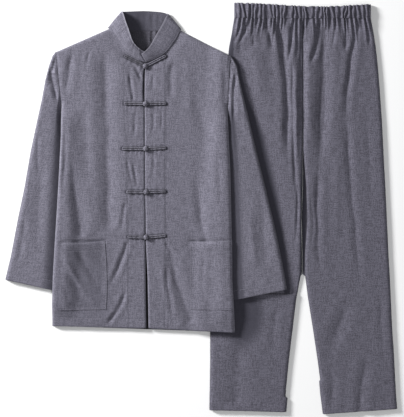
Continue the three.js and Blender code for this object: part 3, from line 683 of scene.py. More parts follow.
def cloth_piece(node, points, uv, garment_at, material, seam=0, wear_and_highlight=0, wall=WALL):
    """Lays a grid through points given row by row. A grid whose sides meet becomes a tube."""
    x, y, z = points
    rows, columns = x.shape
    bpy.ops.object.select_all(action="DESELECT")
    bpy.ops.mesh.primitive_grid_add(x_subdivisions=columns - 1, y_subdivisions=rows - 1, size=1)
    piece = bpy.context.object
    piece.name = piece.data.name = node + "_cloth"
    mesh = piece.data
    places = np.stack([x + garment_at[0], y + garment_at[1], z], axis=-1) * MM
    mesh.vertices.foreach_set("co", places.reshape(-1))
    corners = np.empty(len(mesh.loops), int)
    mesh.loops.foreach_get("vertex_index", corners)
    flat = np.stack(np.broadcast_arrays(*uv), axis=-1) * MM
    mesh.uv_layers[0].name = "UVMap"
    mesh.uv_layers[0].uv.foreach_set("vector", flat.reshape(-1, 2)[corners].reshape(-1))
    for attribute, values in (("seam", seam), ("wear_and_highlight", wear_and_highlight)):
        layer = mesh.attributes.new(attribute, "FLOAT", "POINT")
        filled = np.ascontiguousarray(np.broadcast_to(values, x.shape), float)
        layer.data.foreach_set("value", filled.reshape(-1))
    mesh.update()
    mesh.materials.append(material)
    finish_cloth(piece, np.allclose(places[:, 0], places[:, -1]), wall)
    declare(piece, node)
    return piece


def finish_cloth(piece, is_tube, wall):
    """Closes a tube, turns the faces outwards, adds the wall and smooths the shading."""
    bpy.ops.object.mode_set(mode="EDIT")
    bpy.ops.mesh.select_all(action="SELECT")
    if is_tube:
        bpy.ops.mesh.remove_doubles(threshold=0.00001)
        bpy.ops.mesh.normals_make_consistent(inside=False)
    bpy.ops.object.mode_set(mode="OBJECT")
    if not is_tube and sum(face.normal.z for face in piece.data.polygons) < 0:
        bpy.ops.object.mode_set(mode="EDIT")
        bpy.ops.mesh.flip_normals()
        bpy.ops.object.mode_set(mode="OBJECT")
    thicken = piece.modifiers.new("wall", "SOLIDIFY")
    thicken.thickness = wall * MM
    thicken.offset = -1
    bpy.ops.object.modifier_apply(modifier=thicken.name)
    bpy.ops.object.shade_smooth_by_angle(angle=SMOOTH_UNDER)


def declare(piece, node):
    """Hangs a piece of cloth under the root, and hides the solid of the node that it stands for.
    """
    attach(piece, "root")
    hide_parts(node)


# %% Rows of points
def rows_along(rows, edges, cell):
    """Places along a table's rows, so that no step is longer than a cell on any edge."""
    places = [0.0]
    for i in range(len(rows[edges[0] + "X"]) - 1):
        runs = [math.hypot(*(np.diff(rows[e + axis])[i] for axis in "XY")) for e in edges]
        steps = max(1, math.ceil(max(runs) / cell))
        places += [i + (k + 1) / steps for k in range(steps)]
    return np.array(places)


def row_ends(rows, start, end, u):
    """Both ends of the rows at places u, and how wide the rows are."""
    ends = [along(rows, side + axis, u)[:, None] for side in (start, end) for axis in "XY"]
    return ends, np.hypot(ends[2] - ends[0], ends[3] - ends[1])


def across(rows, start, end, u, shares):
    """Points between two edges of a table, one row of them for each place u."""
    (ax, ay, bx, by), _ = row_ends(rows, start, end, u)
    return ax + (bx - ax) * shares, ay + (by - ay) * shares


def edge_line(rows, side, u_from, u_to, inside=0.0, count=24):
    """A line beside an edge of a table, moved inside by a distance along x."""
    u = np.linspace(u_from, u_to, count)
    x = along(rows, side + "X", u)
    return list(zip(x - np.sign(x) * inside, along(rows, side + "Y", u)))


# %% [markdown]
# ## What the jacket lies on
# The jacket's right side lies on its own sleeve's inner edge, and its left side on the trousers
# and on the left sleeve's inner edge. The cloth slopes up on to them, and the front layer goes up
# a little before the back one does.

# %% Heights under the jacket
RISE_OVER, RISE_BEFORE = 42, 8  # the slope's width, and how far before the edge it is up
SLIP_UNDER = 50  # below the underarm, what the sleeve lifts grows over this length
PAST_CUFF = (27, 77)  # below the cuff the body comes down again between these distances
FRONT_REACH = 5  # how much earlier the front layer goes up than the back


def slope_up(inside):
    """0 on the floor and 1 on what lies under the cloth."""
    return smooth((inside + RISE_BEFORE + RISE_OVER) / RISE_OVER)


def sleeve_rest(side, inside, y):
    """How high a sleeve's inner edge lifts the body, at a distance inside that edge."""
    below_cuff = SLEEVES[side]["innerY"][-1] - y
    past = (below_cuff - PAST_CUFF[0]) / (PAST_CUFF[1] - PAST_CUFF[0])
    beside = smooth((BODY[side + "Y"][UNDERARM] - y) / SLIP_UNDER) * (1 - smooth(past))
    return SLEEVE_RISE * slope_up(inside) * beside


def body_rest(x, y):
    """Height of what the jacket's back lies on."""
    right = sleeve_rest("right", look_up(SLEEVES["right"], "innerY", y, "innerX") - x, y)
    leg_y = y - TROUSERS_FROM_JACKET[1]
    leg_edge = look_up(LEGS["right"], "outerY", leg_y, "outerX") + TROUSERS_FROM_JACKET[0]
    left = sleeve_rest("left", x - look_up(SLEEVES["left"], "innerY", y, "innerX"), y)
    return np.where(x < 0, right, left + TROUSER_RISE * slope_up(x - leg_edge))


def front_rest(x, y):
    """The same for the front layer, which goes up a little earlier."""
    return np.maximum(body_rest(x, y), body_rest(x + np.sign(x) * FRONT_REACH, y))


def body_round(side, x, y):
    """How far the front is up off the back: 0 at the side and shoulder seams, 1 further in."""
    tip, neck, arm = (
        (BODY[f"{side}{part}X"][i], BODY[f"{side}{part}Y"][i])
        for part, i in (("", -1), ("Edge", -1), ("", UNDERARM))
    )
    side_x = look_up(BODY, side + "Y", np.minimum(y, arm[1]), side + "X")
    from_side = np.where(y < arm[1], np.abs(x - side_x), np.hypot(x - arm[0], y - arm[1]))
    seam = (neck[0] - tip[0], neck[1] - tip[1])
    from_shoulder = np.abs(seam[0] * (y - tip[1]) - seam[1] * (x - tip[0])) / math.hypot(*seam)
    return round_off(from_side) * round_off(from_shoulder)


# %% [markdown]
# ## The jacket's back
# The back is one piece of cloth that lies flat. Only its inside shows, through the neck opening
# and between the front edges, so it needs few points.

# %% Jacket back
BACK_CELL, BACK_COLUMNS = 7.0, 72
SHOULDER_STEPS = 14
NECK_FROM, NECK_HALF = 660, 85  # the back's part that shows through the neck opening
# how dark the painted shade is inside the neck
NECK_SHADE = 0.71
NECK_FOLDS = table(FOLD_COLUMNS, """
9 790 11 740 12 685 6 1.5 0.1 0.3
27 788 26 745 22 700 6 1.4 0.1 0.3
-24 788 -22 740 -16 700 8 1.0 0.1 0.3
42 780 40 755 36 730 5 0.9 0.2 0.3
""")


def inside_shade(x):
    """Painted shade inside the neck, darkest towards the right shoulder, away from the light."""
    return 0.95 - 0.4 * smooth((x + 20) / 60)


u = rows_along(BODY, ("right", "left"), BACK_CELL)
shares = np.linspace(0, 1, BACK_COLUMNS)[None, :]
back_x, back_y = across(BODY, "right", "left", u, shares)
for step in range(1, SHOULDER_STEPS + 1):
    t = step / SHOULDER_STEPS
    ax, ay, bx, by = (
        BODY[side + axis][-1] * (1 - t) + BODY[f"{side}Edge{axis}"][-1] * t
        for side in SIDES
        for axis in "XY"
    )
    back_x = np.vstack([back_x, ax + (bx - ax) * shares])
    back_y = np.vstack([back_y, ay + (by - ay) * shares])
in_neck = smooth((back_y - NECK_FROM) / 25) * smooth((NECK_HALF - np.abs(back_x)) / 15)
back_z = body_rest(back_x, back_y) + CLOTH + in_neck * fold_height(NECK_FOLDS, back_x, back_y)
# painted shade on the back where it shows between the front edges
gap_at = look_up(BODY, "rightEdgeY", back_y, "rightEdgeX") + 2
painted_shade_in_gap = (back_y < NECK_FROM) * shaded(np.abs(back_x - gap_at), 9, 6)
cloth_piece(
    "jacket_back", (back_x, back_y, back_z), (back_x, back_y), JACKET_AT, slate_inner_painted_shade_cloth,
    seam=np.maximum(NECK_SHADE * in_neck * inside_shade(back_x), painted_shade_in_gap), wall=BACK_WALL,
)

# %% [markdown]
# ## The jacket's fronts
# A front is one panel from the side seam to the front edge. Its edge is turned back 50 mm and
# topstitched, so the cloth is a little higher there, and the hem is turned 20 mm. The columns of
# the grid keep their distance from the front edge, so that the topstitched line falls on them.
# Puckers, grooves and the turned edges are added to the heights of the fold table.

# %% The stitched lines of the fronts
TURNED_EDGE, TURNED_HEM = 50.0, 21.0
FRONT_LINES = {
    "right": [
        [(-52.5, 688), (-52, 545), (-47.5, 445), (-45, 320), (-42.5, 220), (-42.5, 3)],
        [(-231.5, 5 + TURNED_HEM), (3, TURNED_HEM)],
    ],
    "left": [
        [(51, 688), (51, 545), (51, 320), (50, 120), (48.5, 3)],
        [(8.6, TURNED_HEM), (122, TURNED_HEM - 3), (223.5, TURNED_HEM - 11)],
    ],
}
LOW_SHADE = {"right": 0.2, "left": 0.07}  # painted shade: the fronts are darker towards the hem
# Where a pocket's mouth gapes, and the painted shade above it is darkest: the middle along x, and
# half the width
MOUTH_GAPES = {"right": [(-175, 15), (-130, 36)], "left": [(119, 10), (144, 14)]}
# A fold of the front that catches the light, kept out of the right pocket's painted shade
POCKET_RIDGE = [(-205, 186), (-176, 132), (-138, 66)]
POCKET_CORNERS = {
    "right": [(-213, 44.5), (-97, 47), (-101, 218.5), (-207, 214)],
    "left": [(113, 46.5), (218.7, 46.5), (217.5, 219.5), (113, 216.5)],
}
EDGE_TOP = 632  # the front edges run straight up to here
FRONT_SOFT = ((0.32, 2.0, 74, 3), (0.14, 1.0, 19, 4))
FRONT_WOBBLE, WOBBLE_SIZE = 2.5, 110  # so that no fold is a plain curve
PULL_PITCH, PULL_REACH, PULL_HEIGHT = 12.5, 26, 0.75  # creases beside a strap
STRAP_SINKS, STRAP_REACH = 0.5, 5
MOUTH_SINKS, MOUTH_REACH = 1.6, 9  # the front gives way under a pocket's open mouth
NECK_PRESS, NECK_REACH = 2.2, 30  # and the collar's seam holds it down


def strap_line(side, i):
    """The line of a frog's strap, from its knot to its far end."""
    return [(FROGS["knotX"][i], FROGS["knotY"][i]), (FROGS[side + "X"][i], FROGS[side + "Y"][i])]


def strap_pull(side, x, y):
    """Short creases that run out from the stitched straps."""
    total = np.zeros(x.shape)
    for i in range(len(FROGS["knotX"])):
        path = np.array(strap_line(side, i), float)
        away, share = nearest_on(path, x, y)
        run = share * np.hypot(*(path[1] - path[0]))
        below = np.where(y < np.interp(x, *zip(*sorted(map(tuple, path)))), 1.0, 0.55)
        wave = np.cos(2 * np.pi * run / PULL_PITCH + 1.3 * np.sin(run / 9 + 2 * i)) * below
        total += PULL_HEIGHT * wave * bump(away / PULL_REACH) * smooth(away / 3)
        total -= STRAP_SINKS * bump(away / STRAP_REACH)
    return total


def mouth_line(side):
    """Where a pocket's mouth lies on the front."""
    return POCKET_CORNERS[side][:1:-1]


# %% Heights of the fronts
def front_top(side, x, y):
    """Height of a front's outer side."""
    lines = FRONT_LINES[side]
    edge_x = look_up(BODY, side + "EdgeY", np.minimum(y, EDGE_TOP), side + "EdgeX")
    from_edge = np.abs(edge_x - x)
    turned = 0.4 * smooth((TURNED_EDGE - from_edge) / 3) + 0.4 * smooth((TURNED_HEM - y) / 4)
    wobble = FRONT_WOBBLE * ripples(x, y, WOBBLE_SIZE, 5)
    drape = fold_height(FRONT_FOLDS[side], x + wobble, y) + softness(x, y, FRONT_SOFT)
    sewn = puckers(lines, x, y) - 0.3 * seam_mark(lines, x, y) + strap_pull(side, x, y)
    sunk = -MOUTH_SINKS * seam_mark([mouth_line(side)], x, y, MOUTH_REACH)
    edge_fall = 0.66 + 0.34 * round_off(from_edge, 3.5)
    neck_line = np.stack([BODY[side + "EdgeX"], BODY[side + "EdgeY"]], axis=-1)[UNDERARM + 2 :]
    from_neck, _ = nearest_on(neck_line, x, y)
    loose = AIR - NECK_PRESS * bump(from_neck / NECK_REACH)
    air = np.maximum(loose + drape + turned + sewn + sunk, LEAST_AIR)
    arm_line = edge_line(BODY, side, UNDERARM, len(BODY[side + "X"]) - 1)
    held = 1 - ARM_SINKS * seam_mark([arm_line], x, y, ARM_REACH)
    air = air * body_round(side, x, y) * edge_fall * held
    return front_rest(x, y) + 2 * CLOTH + SEAM_GAP + air


def pocket_shade(x, y):
    """Painted shade: 1 where the right pocket lies in the shade of the long fold above it."""
    corners = np.array(POCKET_CORNERS["right"])
    across_it = smooth((x - corners[0, 0] - 8) / 14) * smooth((corners[2, 0] + 2 - x) / 16)
    down_it = smooth((corners[2, 1] + 2 - y) / 8) * smooth((y - corners[0, 1]) / 14)
    ridge, _ = nearest_on(np.array(POCKET_RIDGE, float), x, y)
    return across_it * down_it * (1 - 0.7 * bump(ridge / 15))


# %% Jacket fronts
FRONT_CELL, FRONT_EDGE_CELL = 3.2, 2.5
FRONT_SIDE_COLUMNS = 50
STRAP_SHADE, KNOT_SHADE = (4.6, 2.4), (7.6, 3)  # full width and fade of the painted shade beside strap and knot
SLIT_MIDDLE, SLIT_HALF = 610, 38  # the part below the top frog where the fronts stand apart, with painted shade along the right edge


def frog_shade(side, x, y):
    """Painted shade: 1 under a front's straps and knots and beside them."""
    marks = [
        shaded(np.hypot(x - knot_x, y - knot_y), *KNOT_SHADE)
        for knot_x, knot_y in zip(FROGS["knotX"], FROGS["knotY"])
    ]
    for i in range(len(FROGS["knotX"])):
        away, _ = nearest_on(np.array(strap_line(side, i), float), x, y)
        marks.append(shaded(away, *STRAP_SHADE))
    return np.maximum.reduce(marks)


def front_panel(side):
    """A front from its side seam to its turned edge, with its painted shade and its wear."""
    u = rows_along(BODY, (side, side + "Edge"), FRONT_CELL)
    _, width = row_ends(BODY, side, side + "Edge", u)
    near = np.arange(0, TURNED_EDGE + 8, FRONT_EDGE_CELL)[::-1][None, :] / width
    far = np.linspace(0, 1, FRONT_SIDE_COLUMNS, endpoint=False)[None, :] * (1 - near[:, :1])
    shares = np.hstack([far, 1 - near])
    from_edge = (1 - shares) * width
    x, y = across(BODY, side, side + "Edge", u, shares)
    arm_line = edge_line(BODY, side, UNDERARM, len(BODY[side + "X"]) - 1)
    side_line = edge_line(BODY, side, 0, UNDERARM, 0.5)
    placket, hem = FRONT_LINES[side]
    # painted shade along each pocket's mouth, darkest where it gapes
    mouth = seam_mark([[(px, py + 1.5) for px, py in mouth_line(side)]], x, y, 5.0)
    gapes = sum(bump((x - middle) / half) for middle, half in MOUTH_GAPES[side])
    right = side == "right"
    slit = right * shaded(from_edge, 1.0, 2.0) * shaded(np.abs(y - SLIT_MIDDLE), SLIT_HALF, 8)
    # dark stitched lines, and painted shade at the pocket mouths, at the frogs, on the right
    # pocket, towards the hem, along the hem's edge and in the slit
    seam = np.maximum.reduce([
        0.7 * seam_mark([placket], x, y),
        0.25 * seam_mark([hem], x, y),
        0.3 * seam_mark([arm_line], x, y, 3),
        mouth * np.minimum(0.25 + gapes, 1),
        frog_shade(side, x, y),
        0.3 * right * pocket_shade(x, y),
        LOW_SHADE[side] * smooth((360 - y) / 260) * smooth((np.abs(x) - 50) / 60),
        EDGE_SHADE * bump((y - y[:1]) / EDGE_LINE),
        slit,
    ])
    turned_edge = bump(from_edge / 2.2) * (1 - slit)
    wear_and_highlight = np.maximum(turned_edge, seam_mark([side_line], x, y, 4)) * (y > y[:1] + EDGE_LINE)
    return cloth_piece(
        f"jacket_front_{side}", (x, y, front_top(side, x, y)), (x, y), JACKET_AT, slate_cloth,
        seam, 0.35 * wear_and_highlight,
    )


fronts = {side: front_panel(side) for side in SIDES}

# %% [markdown]
# ## Patch pockets
# A patch pocket is a square of cloth that is sewn to the front along three sides. It is made from
# the front's own heights, moved out, so it follows each fold of the panel under it. Its mouth is
# open a little: it gapes most in the middle and is held down at both corners by bar tacks.

# %% Pockets
POCKET_CELLS = (44, 62)
POCKET_WIDTH, POCKET_HEIGHT = 110, 170
POCKET_MOUTH_HEM = 24.0
POCKET_SAG = 3.5  # how far the right pocket's inner side is stretched out by use
MOUTH_SAG = {"right": 3.5, "left": 1.5}
POCKET_LIFT, MOUTH_LIFT = 1.15, 2.1  # how far a pocket stands off the front, and its mouth more


def pocket_patch(side):
    """A pocket that follows the front under it and stands off at its mouth."""
    corners = np.array(POCKET_CORNERS[side], float)
    s = np.linspace(0, 1, POCKET_CELLS[0])[None, :]
    t = np.linspace(0, 1, POCKET_CELLS[1])[:, None]
    low, high = (
        [corners[a][k] + (corners[b][k] - corners[a][k]) * s for k in (0, 1)]
        for a, b in ((0, 1), (3, 2))
    )
    x, y = (low[k] + (high[k] - low[k]) * t for k in (0, 1))
    swell = np.sin(np.pi * s) * smooth((t - 0.55) / 0.45)
    y = y - MOUTH_SAG[side] * swell
    if side == "right":
        x = x + POCKET_SAG * np.sin(np.pi * t) * smooth((s - 0.6) / 0.4)
    outline = [list(zip(x[:, k], y[:, k])) for k in (1, -2)] + [list(zip(x[1], y[1]))]
    mouth = [list(zip(x[-9], y[-9]))]
    lines = outline + mouth
    lifted = POCKET_LIFT + MOUTH_LIFT * swell * round_off(np.minimum(s, 1 - s) * POCKET_WIDTH, 30)
    sewn = 0.3 * (puckers(lines, x, y, 0.3) - 0.3 * seam_mark(lines, x, y))
    hem = 0.35 * smooth((y - 219 + POCKET_MOUTH_HEM) / 3)
    z = front_top(side, x, y) + lifted + sewn + hem
    seam = np.maximum(0.3 * seam_mark(outline, x, y), 0.2 * seam_mark(mouth, x, y))
    # painted shade on the right pocket
    if side == "right":
        seam = np.maximum(seam, 0.42 * pocket_shade(x, y))
    edges = np.maximum(bump(s * POCKET_WIDTH / 2.0), bump((1 - s) * POCKET_WIDTH / 2.0))
    wear_and_highlight = np.maximum(0.15 * edges, 0.25 * bump((1 - t) * POCKET_HEIGHT / 2.4))
    return cloth_piece(
        f"pocket_{side}", (x, y, z), (x, y), JACKET_AT, slate_cloth,
        seam, wear_and_highlight, POCKET_WALL,
    )


pockets = {side: pocket_patch(side) for side in SIDES}

# %% [markdown]
# ## Sleeves
# A sleeve is cut as one piece and sewn to a tube. Laid down, the tube is flat: its lower layer
# rests on the table or on the trousers, its upper layer has the folds, and the two meet in a fold
# along each side. So each row of the grid goes once round the tube, and its two sides are merged.

# %% Sleeves
SLEEVE_CELL = 4.0
UPPER_COLUMNS, LOWER_COLUMNS = 54, 16
CUFF_HEM = 22.0
SLEEVE_AIR = 7.0
SLEEVE_SLOPE = 42.0  # width over which a sleeve comes down to the body
SLEEVE_SHADE = {"right": (0, 34), "left": (10, 14)}  # painted shade beside the body: full shade, then fading
SIDE_INSET = 0.8  # both layers of a tube stop this far inside its side folds
SLEEVE_SOFT = ((0.45, 2.0, 46, 11), (0.15, 1.0, 16, 12))


def girths(steps):
    """How far each point of a row is along it, from the steps between its points."""
    return np.hstack([np.zeros((len(steps), 1)), np.cumsum(steps, axis=1)])


def sleeve_air(side, x, y, from_outer, from_inner, from_cuff, arm):
    """How far a sleeve's upper layer stands off the lower one."""
    drape = fold_height(SLEEVE_FOLDS[side], x, y) + softness(x, y, SLEEVE_SOFT)
    drape = drape + 0.4 * smooth((CUFF_HEM - from_cuff) / 4)
    pucker = 0.25 * np.cos(2 * np.pi * from_outer / PUCKER_LENGTH)
    drape = drape + pucker * bump((from_cuff - CUFF_HEM) / PUCKER_REACH)
    groove = 0.3 * bump((from_cuff - CUFF_HEM) / SEAM_HALF)
    to_body = 0.12 + 0.88 * smooth(from_inner / SLEEVE_SLOPE)
    full_air = 0.62 + 0.38 * smooth((SLEEVES[side]["outerY"][0] - 20 - y) / 150)
    air = np.maximum(SLEEVE_AIR * full_air * to_body + drape - groove, LEAST_AIR)
    cap = 1 - ARM_SINKS * seam_mark([arm], x, y, ARM_REACH)
    return air * round_off(np.minimum(from_outer, from_inner)) * cap


def sleeve_shade(side, x, y, from_outer, from_cuff):
    """Painted shade beside the body and along the turned edges, and the cuff's dark stitched line.
    """
    full, fade = SLEEVE_SHADE[side]
    below_arm = SLEEVES[side]["innerY"][0] - y
    beside = np.abs(x - look_up(BODY, side + "Y", y, side + "X"))
    painted_shade_beside_body = 0.9 * shaded(beside, full * (1 + below_arm / 450), fade)
    return np.maximum.reduce([
        painted_shade_beside_body * smooth((below_arm + 15) / 50),
        EDGE_SHADE * bump(from_cuff / EDGE_LINE),
        EDGE_SHADE * bump(from_outer / EDGE_LINE),
        0.25 * bump((from_cuff - CUFF_HEM) / SEAM_HALF),
    ])


# %% Sleeve tubes
def sleeve_tube(side, rest):
    """A flat tube: its upper layer, a side fold, its lower layer and the other side fold."""
    rows = SLEEVES[side]
    u = rows_along(rows, ("outer", "inner"), SLEEVE_CELL)
    t = np.linspace(0, 1, UPPER_COLUMNS)
    upper = (0.3 * t + 0.7 * (0.5 - 0.5 * np.cos(np.pi * t)))[None, :]
    lower = np.linspace(1, 0, LOWER_COLUMNS)[None, :]
    (outer_x, outer_y, inner_x, inner_y), width = row_ends(rows, "outer", "inner", u)
    (x, y), (low_x, low_y) = (
        across(rows, "outer", "inner", u, (SIDE_INSET + (width - 2 * SIDE_INSET) * layer) / width)
        for layer in (upper, lower)
    )
    arm, cuff = (
        np.array([[rows[part + axis][end] for axis in "XY"] for part in ("outer", "inner")])
        for end in (0, -1)
    )
    from_cuff, _ = nearest_on(cuff, x, y)
    from_outer, from_inner = upper * width, (1 - upper) * width
    air = sleeve_air(side, x, y, from_outer, from_inner, from_cuff, arm)
    top = rest + 2 * CLOTH + SEAM_GAP + air
    middle = np.full(width.shape, rest + CLOTH + SEAM_GAP / 2)
    x_round = np.hstack([x, inner_x, low_x, outer_x, x[:, :1]])
    y_round = np.hstack([y, inner_y, low_y, outer_y, y[:, :1]])
    z_round = np.hstack([top, middle, np.full(low_x.shape, rest), middle, top[:, :1]])
    grain = cuff.mean(axis=0) - arm.mean(axis=0)
    grain /= np.hypot(*grain)
    across_grain = x_round * grain[1] - y_round * grain[0]
    steps = np.hypot(np.diff(across_grain, axis=1), np.diff(z_round, axis=1))
    uv = (across_grain[:, :1] + girths(steps), x_round * grain[0] + y_round * grain[1])
    seam = 0.3 * seam_mark([arm], x_round, y_round, 3)
    shade = sleeve_shade(side, x, y, from_outer, from_cuff)
    seam[:, :UPPER_COLUMNS] = np.maximum(seam[:, :UPPER_COLUMNS], shade)
    return cloth_piece(
        f"sleeve_{side}", (x_round, y_round, z_round), uv, JACKET_AT, slate_cloth, seam
    )


sleeves = {
    "right": sleeve_tube("right", 0.0),
    "left": sleeve_tube("left", TROUSER_RISE),
}

# %% [markdown]
# ## The collar
# The collar is a band 40 mm high, stiffened, doubled and topstitched along its edge. At the back
# of the neck it lies flat, at the sides it folds over, and in front its two halves stand up and
# lean inwards. Its two long edges are smooth curves through the table's points, and the band
# spans them with a slight crown.

# %% Collar
COLLAR_WALL = 2.0
COLLAR_STANDS = 7.0  # how much higher its free edge stands than the solid's
COLLAR_ROWS, COLLAR_COLUMNS = 210, 15
COLLAR_HEIGHT = 40
COLLAR_STITCH_AT = (35, 3.5)  # both topstitched lines, from the neckline up
BACK_MIDDLE = 11  # the row of the collar's table at the middle of the back
COLLAR_FOLDS = table("place width height", """
1.4 0.22 0.7
2.3 0.2 -0.8
3.2 0.3 0.8
4.3 0.35 -0.9
5.4 0.3 0.6
16.3 0.35 -0.8
17.4 0.3 0.7
18.5 0.35 -0.9
19.6 0.25 0.8
20.6 0.25 -0.6
""")


def through_points(values, u):
    """A smooth curve through a column's values."""
    padded = np.concatenate([[2 * values[0] - values[1]], values, [2 * values[-1] - values[-2]]])
    i = np.clip(u.astype(int), 0, len(values) - 2)
    t = u - i
    a, b, c, d = (padded[i + k] for k in range(4))
    bend, twist = 2 * a - 5 * b + 4 * c - d, 3 * b - a - 3 * c + d
    return 0.5 * (2 * b + (c - a) * t + bend * t**2 + twist * t**3)


# %% The collar's band
last = len(COLLAR["seamX"]) - 1
u = np.linspace(0, last, COLLAR_ROWS)
s = np.linspace(0, 1, COLLAR_COLUMNS)[None, :]
seam_edge, top_edge = (
    np.stack([through_points(COLLAR[part + axis], u) for axis in "XYZ"], axis=-1)
    for part in ("seam", "top")
)
from_middle = np.abs(u - BACK_MIDDLE)
upright = smooth((from_middle - 2) / 2)[:, None]
at_back = smooth((3 - from_middle) / 1.5)[:, None]
overlap = smooth(np.minimum(u, last - u) / 2.5)
leans = smooth((u - BACK_MIDDLE) / 4) * smooth((last - 0.5 - u) / 3)
stands = COLLAR_STANDS * (1 - 1.45 * leans) * (0.25 + 0.75 * overlap)
top_edge[:, 2] += stands * upright[:, 0]
height = top_edge - seam_edge
tucked_in = (s - 1) * 0.08 * at_back  # the back's seam allowance, under the collar
band = seam_edge[:, None] + height[:, None] * (s + tucked_in)[:, :, None]
band[..., 2] += at_back * fold_height(NECK_FOLDS, band[..., 0], band[..., 1])
normal = np.cross(np.gradient(seam_edge, axis=0) + np.gradient(top_edge, axis=0), height)
normal /= -np.linalg.norm(normal, axis=1)[:, None]
crease = sum(rise * bump((u - at) / width) for at, width, rise in zip(*COLLAR_FOLDS.values()))
crown = 0.9 * np.sin(np.pi * s) + crease[:, None] * (0.35 + 0.65 * s)
edge_stitch = sum(bump((s * COLLAR_HEIGHT - at) / 2) for at in COLLAR_STITCH_AT)
off_band = crown * upright - 0.25 * edge_stitch + COLLAR_WALL / 2
band = band + normal[:, None] * off_band[:, :, None]
end_edge = np.array([[COLLAR[part + axis][-1] for axis in "XY"] for part in ("seam", "top")])
from_end, _ = nearest_on(end_edge, band[..., 0], band[..., 1])
# painted shade on the collar's right end, beside the edge of the left end that lies over it
painted_shade_under_end = shaded(from_end, 1.8, 2.6) * (u < 4)[:, None]
# painted highlight along the collar's top edge, away from the back
painted_highlight_rim = bump((1 - s) * COLLAR_HEIGHT / 3.4) * (1 - at_back)
# dark stitched lines, painted shade inside the neck and under the left end, and painted highlight
# along the top edge and along the left end's edge
cloth_piece(
    "collar", np.moveaxis(band, -1, 0),
    (s * COLLAR_HEIGHT, length_along((seam_edge + top_edge)[:, :2] / 2)[:, None]), JACKET_AT,
    slate_cloth,
    np.maximum(np.maximum(0.5 * edge_stitch, at_back * inside_shade(band[..., 0])), painted_shade_under_end),
    np.maximum(painted_highlight_rim, 0.8 * bump(from_end / 2.4) * (u > 18)[:, None]), COLLAR_WALL,
)

# %% [markdown]
# ## The trousers
# Each leg is a front and a back that are joined along the outer seam and the inseam. At the waist
# the cloth is gathered on to the elastic: small waves of uneven depth, which run out over 30 to
# 90 mm, and some of which go on as long soft folds. Where the jacket lies on the trousers, they
# are pressed flat.

# %% The gathered waist
# Heights in the jacket's frame, and how wide the painted shadow is there beside the left sleeve
SHADE_WIDTHS = [(86, 8), (100, 11), (145, 13), (320, 30), (480, 33), (570, 12), (640, 9)]
# The painted shadow below the left cuff: its middle on the trousers, and its half sizes
SHADE_POOL = (-152, 243), (64, 98)
LEG_PRESSED_AIR = 0.8
LEG_RECOVERS = 60.0  # width beside the sleeve over which the leg's cloth comes up again


def wave(waist):
    """The gathers across the whole waist, from 0 to 1, unevenly spaced."""
    shift = 2.2 * np.sin(waist * 37 + 1) + 1.3 * np.sin(waist * 83 + 2)
    return 0.5 + 0.5 * np.cos(2 * np.pi * WAVES * waist + shift * np.sin(np.pi * waist))


def uneven_wave(waist, seed):
    """How deep each gather is, and how far it runs, both about 1."""
    random = np.random.default_rng(seed)
    knots = np.linspace(0, 1, 2 * WAVES + 1)
    depth = np.interp(waist, knots, random.uniform(0.35, 1.25, len(knots)))
    run = np.interp(waist, knots, random.uniform(0.6, 2.8, len(knots)))
    return depth, run


def in_valley(waist, depth):
    """1 at the bottom of a deep gather and 0 on its crest."""
    return (1 - wave(waist)) ** 2 * np.clip(depth, 0, 1)


def waist_place(side, s):
    """Where a column of a leg is on the whole waist, from 0 to 1."""
    return s / 2 if side == "right" else 1 - s / 2


def leg_back_rest(side, s, width, drop):
    """Height of a leg's back: small waves below the waist, and flat further down."""
    fade = (1 - smooth(drop / WAVE_DROP)) * round_off(s * width) * round_off((1 - s) * width)
    return BACK_WAVE_HEIGHT * wave(waist_place(side, s)) * fade


def seen_from_jacket(x, y):
    """A place of the trousers in the jacket's frame, and the sleeve's outer edge beside it."""
    x, y = x + TROUSERS_FROM_JACKET[0], y + TROUSERS_FROM_JACKET[1]
    return x, y, look_up(SLEEVES["left"], "outerY", y, "outerX")


def leg_shown(x, y):
    """1 where the trousers show, and 0 where the jacket or its sleeve lies on them."""
    x, y, sleeve = seen_from_jacket(x, y)
    cuff = SLEEVES["left"]["outerY"][-1]
    covered = np.where(y > cuff - 12, sleeve, look_up(BODY, "leftY", y, "leftX"))
    beside = smooth((x - covered - 6) / LEG_RECOVERS)
    return np.maximum.reduce([beside, smooth((y - 672) / 45), smooth((-12 - y) / 40)])


def leg_shade(x, y):
    """Painted shadow that the jacket throws on the leg: beside the sleeve, a pool below the cuff,
    and a line below the hem.
    """
    (mx, my), (rx, ry) = SHADE_POOL
    pool = shaded(np.hypot((x - mx) / rx, (y - my) / ry), 0.5, 0.55)
    x, y, sleeve = seen_from_jacket(x, y)
    width = np.interp(y, *zip(*SHADE_WIDTHS))
    band = shaded(np.abs(x - sleeve), 0.55 * width, 0.6 * width) * (y > SHADE_WIDTHS[0][0])
    hem = shaded(np.abs(y + 11), 2, 9) * (x < BODY["leftX"][0] + 10)
    return np.maximum.reduce([band, 0.95 * pool, 0.9 * hem])


# %% The stitched lines of the trousers
LEG_HEM, INSEAM = 20.0, 11.0
TAIL_WIDTH, TAIL_LENGTH = 2.6, 75  # soft folds below the gathers, one for 2.6 gathers
LEG_SOFT = ((0.4, 2.2, 84, 31), (0.14, 1.0, 20, 32))
LEG_WOBBLE, LEG_WOBBLE_SIZE = 2, 120
LEG_LINES = {
    "right": [
        [(-234, 5 + LEG_HEM), (-40, LEG_HEM)],
        edge_line(LEGS["right"], "inner", 7, 18, INSEAM),
        edge_line(LEGS["right"], "inner", 7, 18, INSEAM - 5),
    ],
    "left": [
        [(49, LEG_HEM - 5), (235, 8 + LEG_HEM)],
        edge_line(LEGS["left"], "inner", 8, 18, -INSEAM),
        edge_line(LEGS["left"], "inner", 8, 18, 5 - INSEAM),
    ],
}


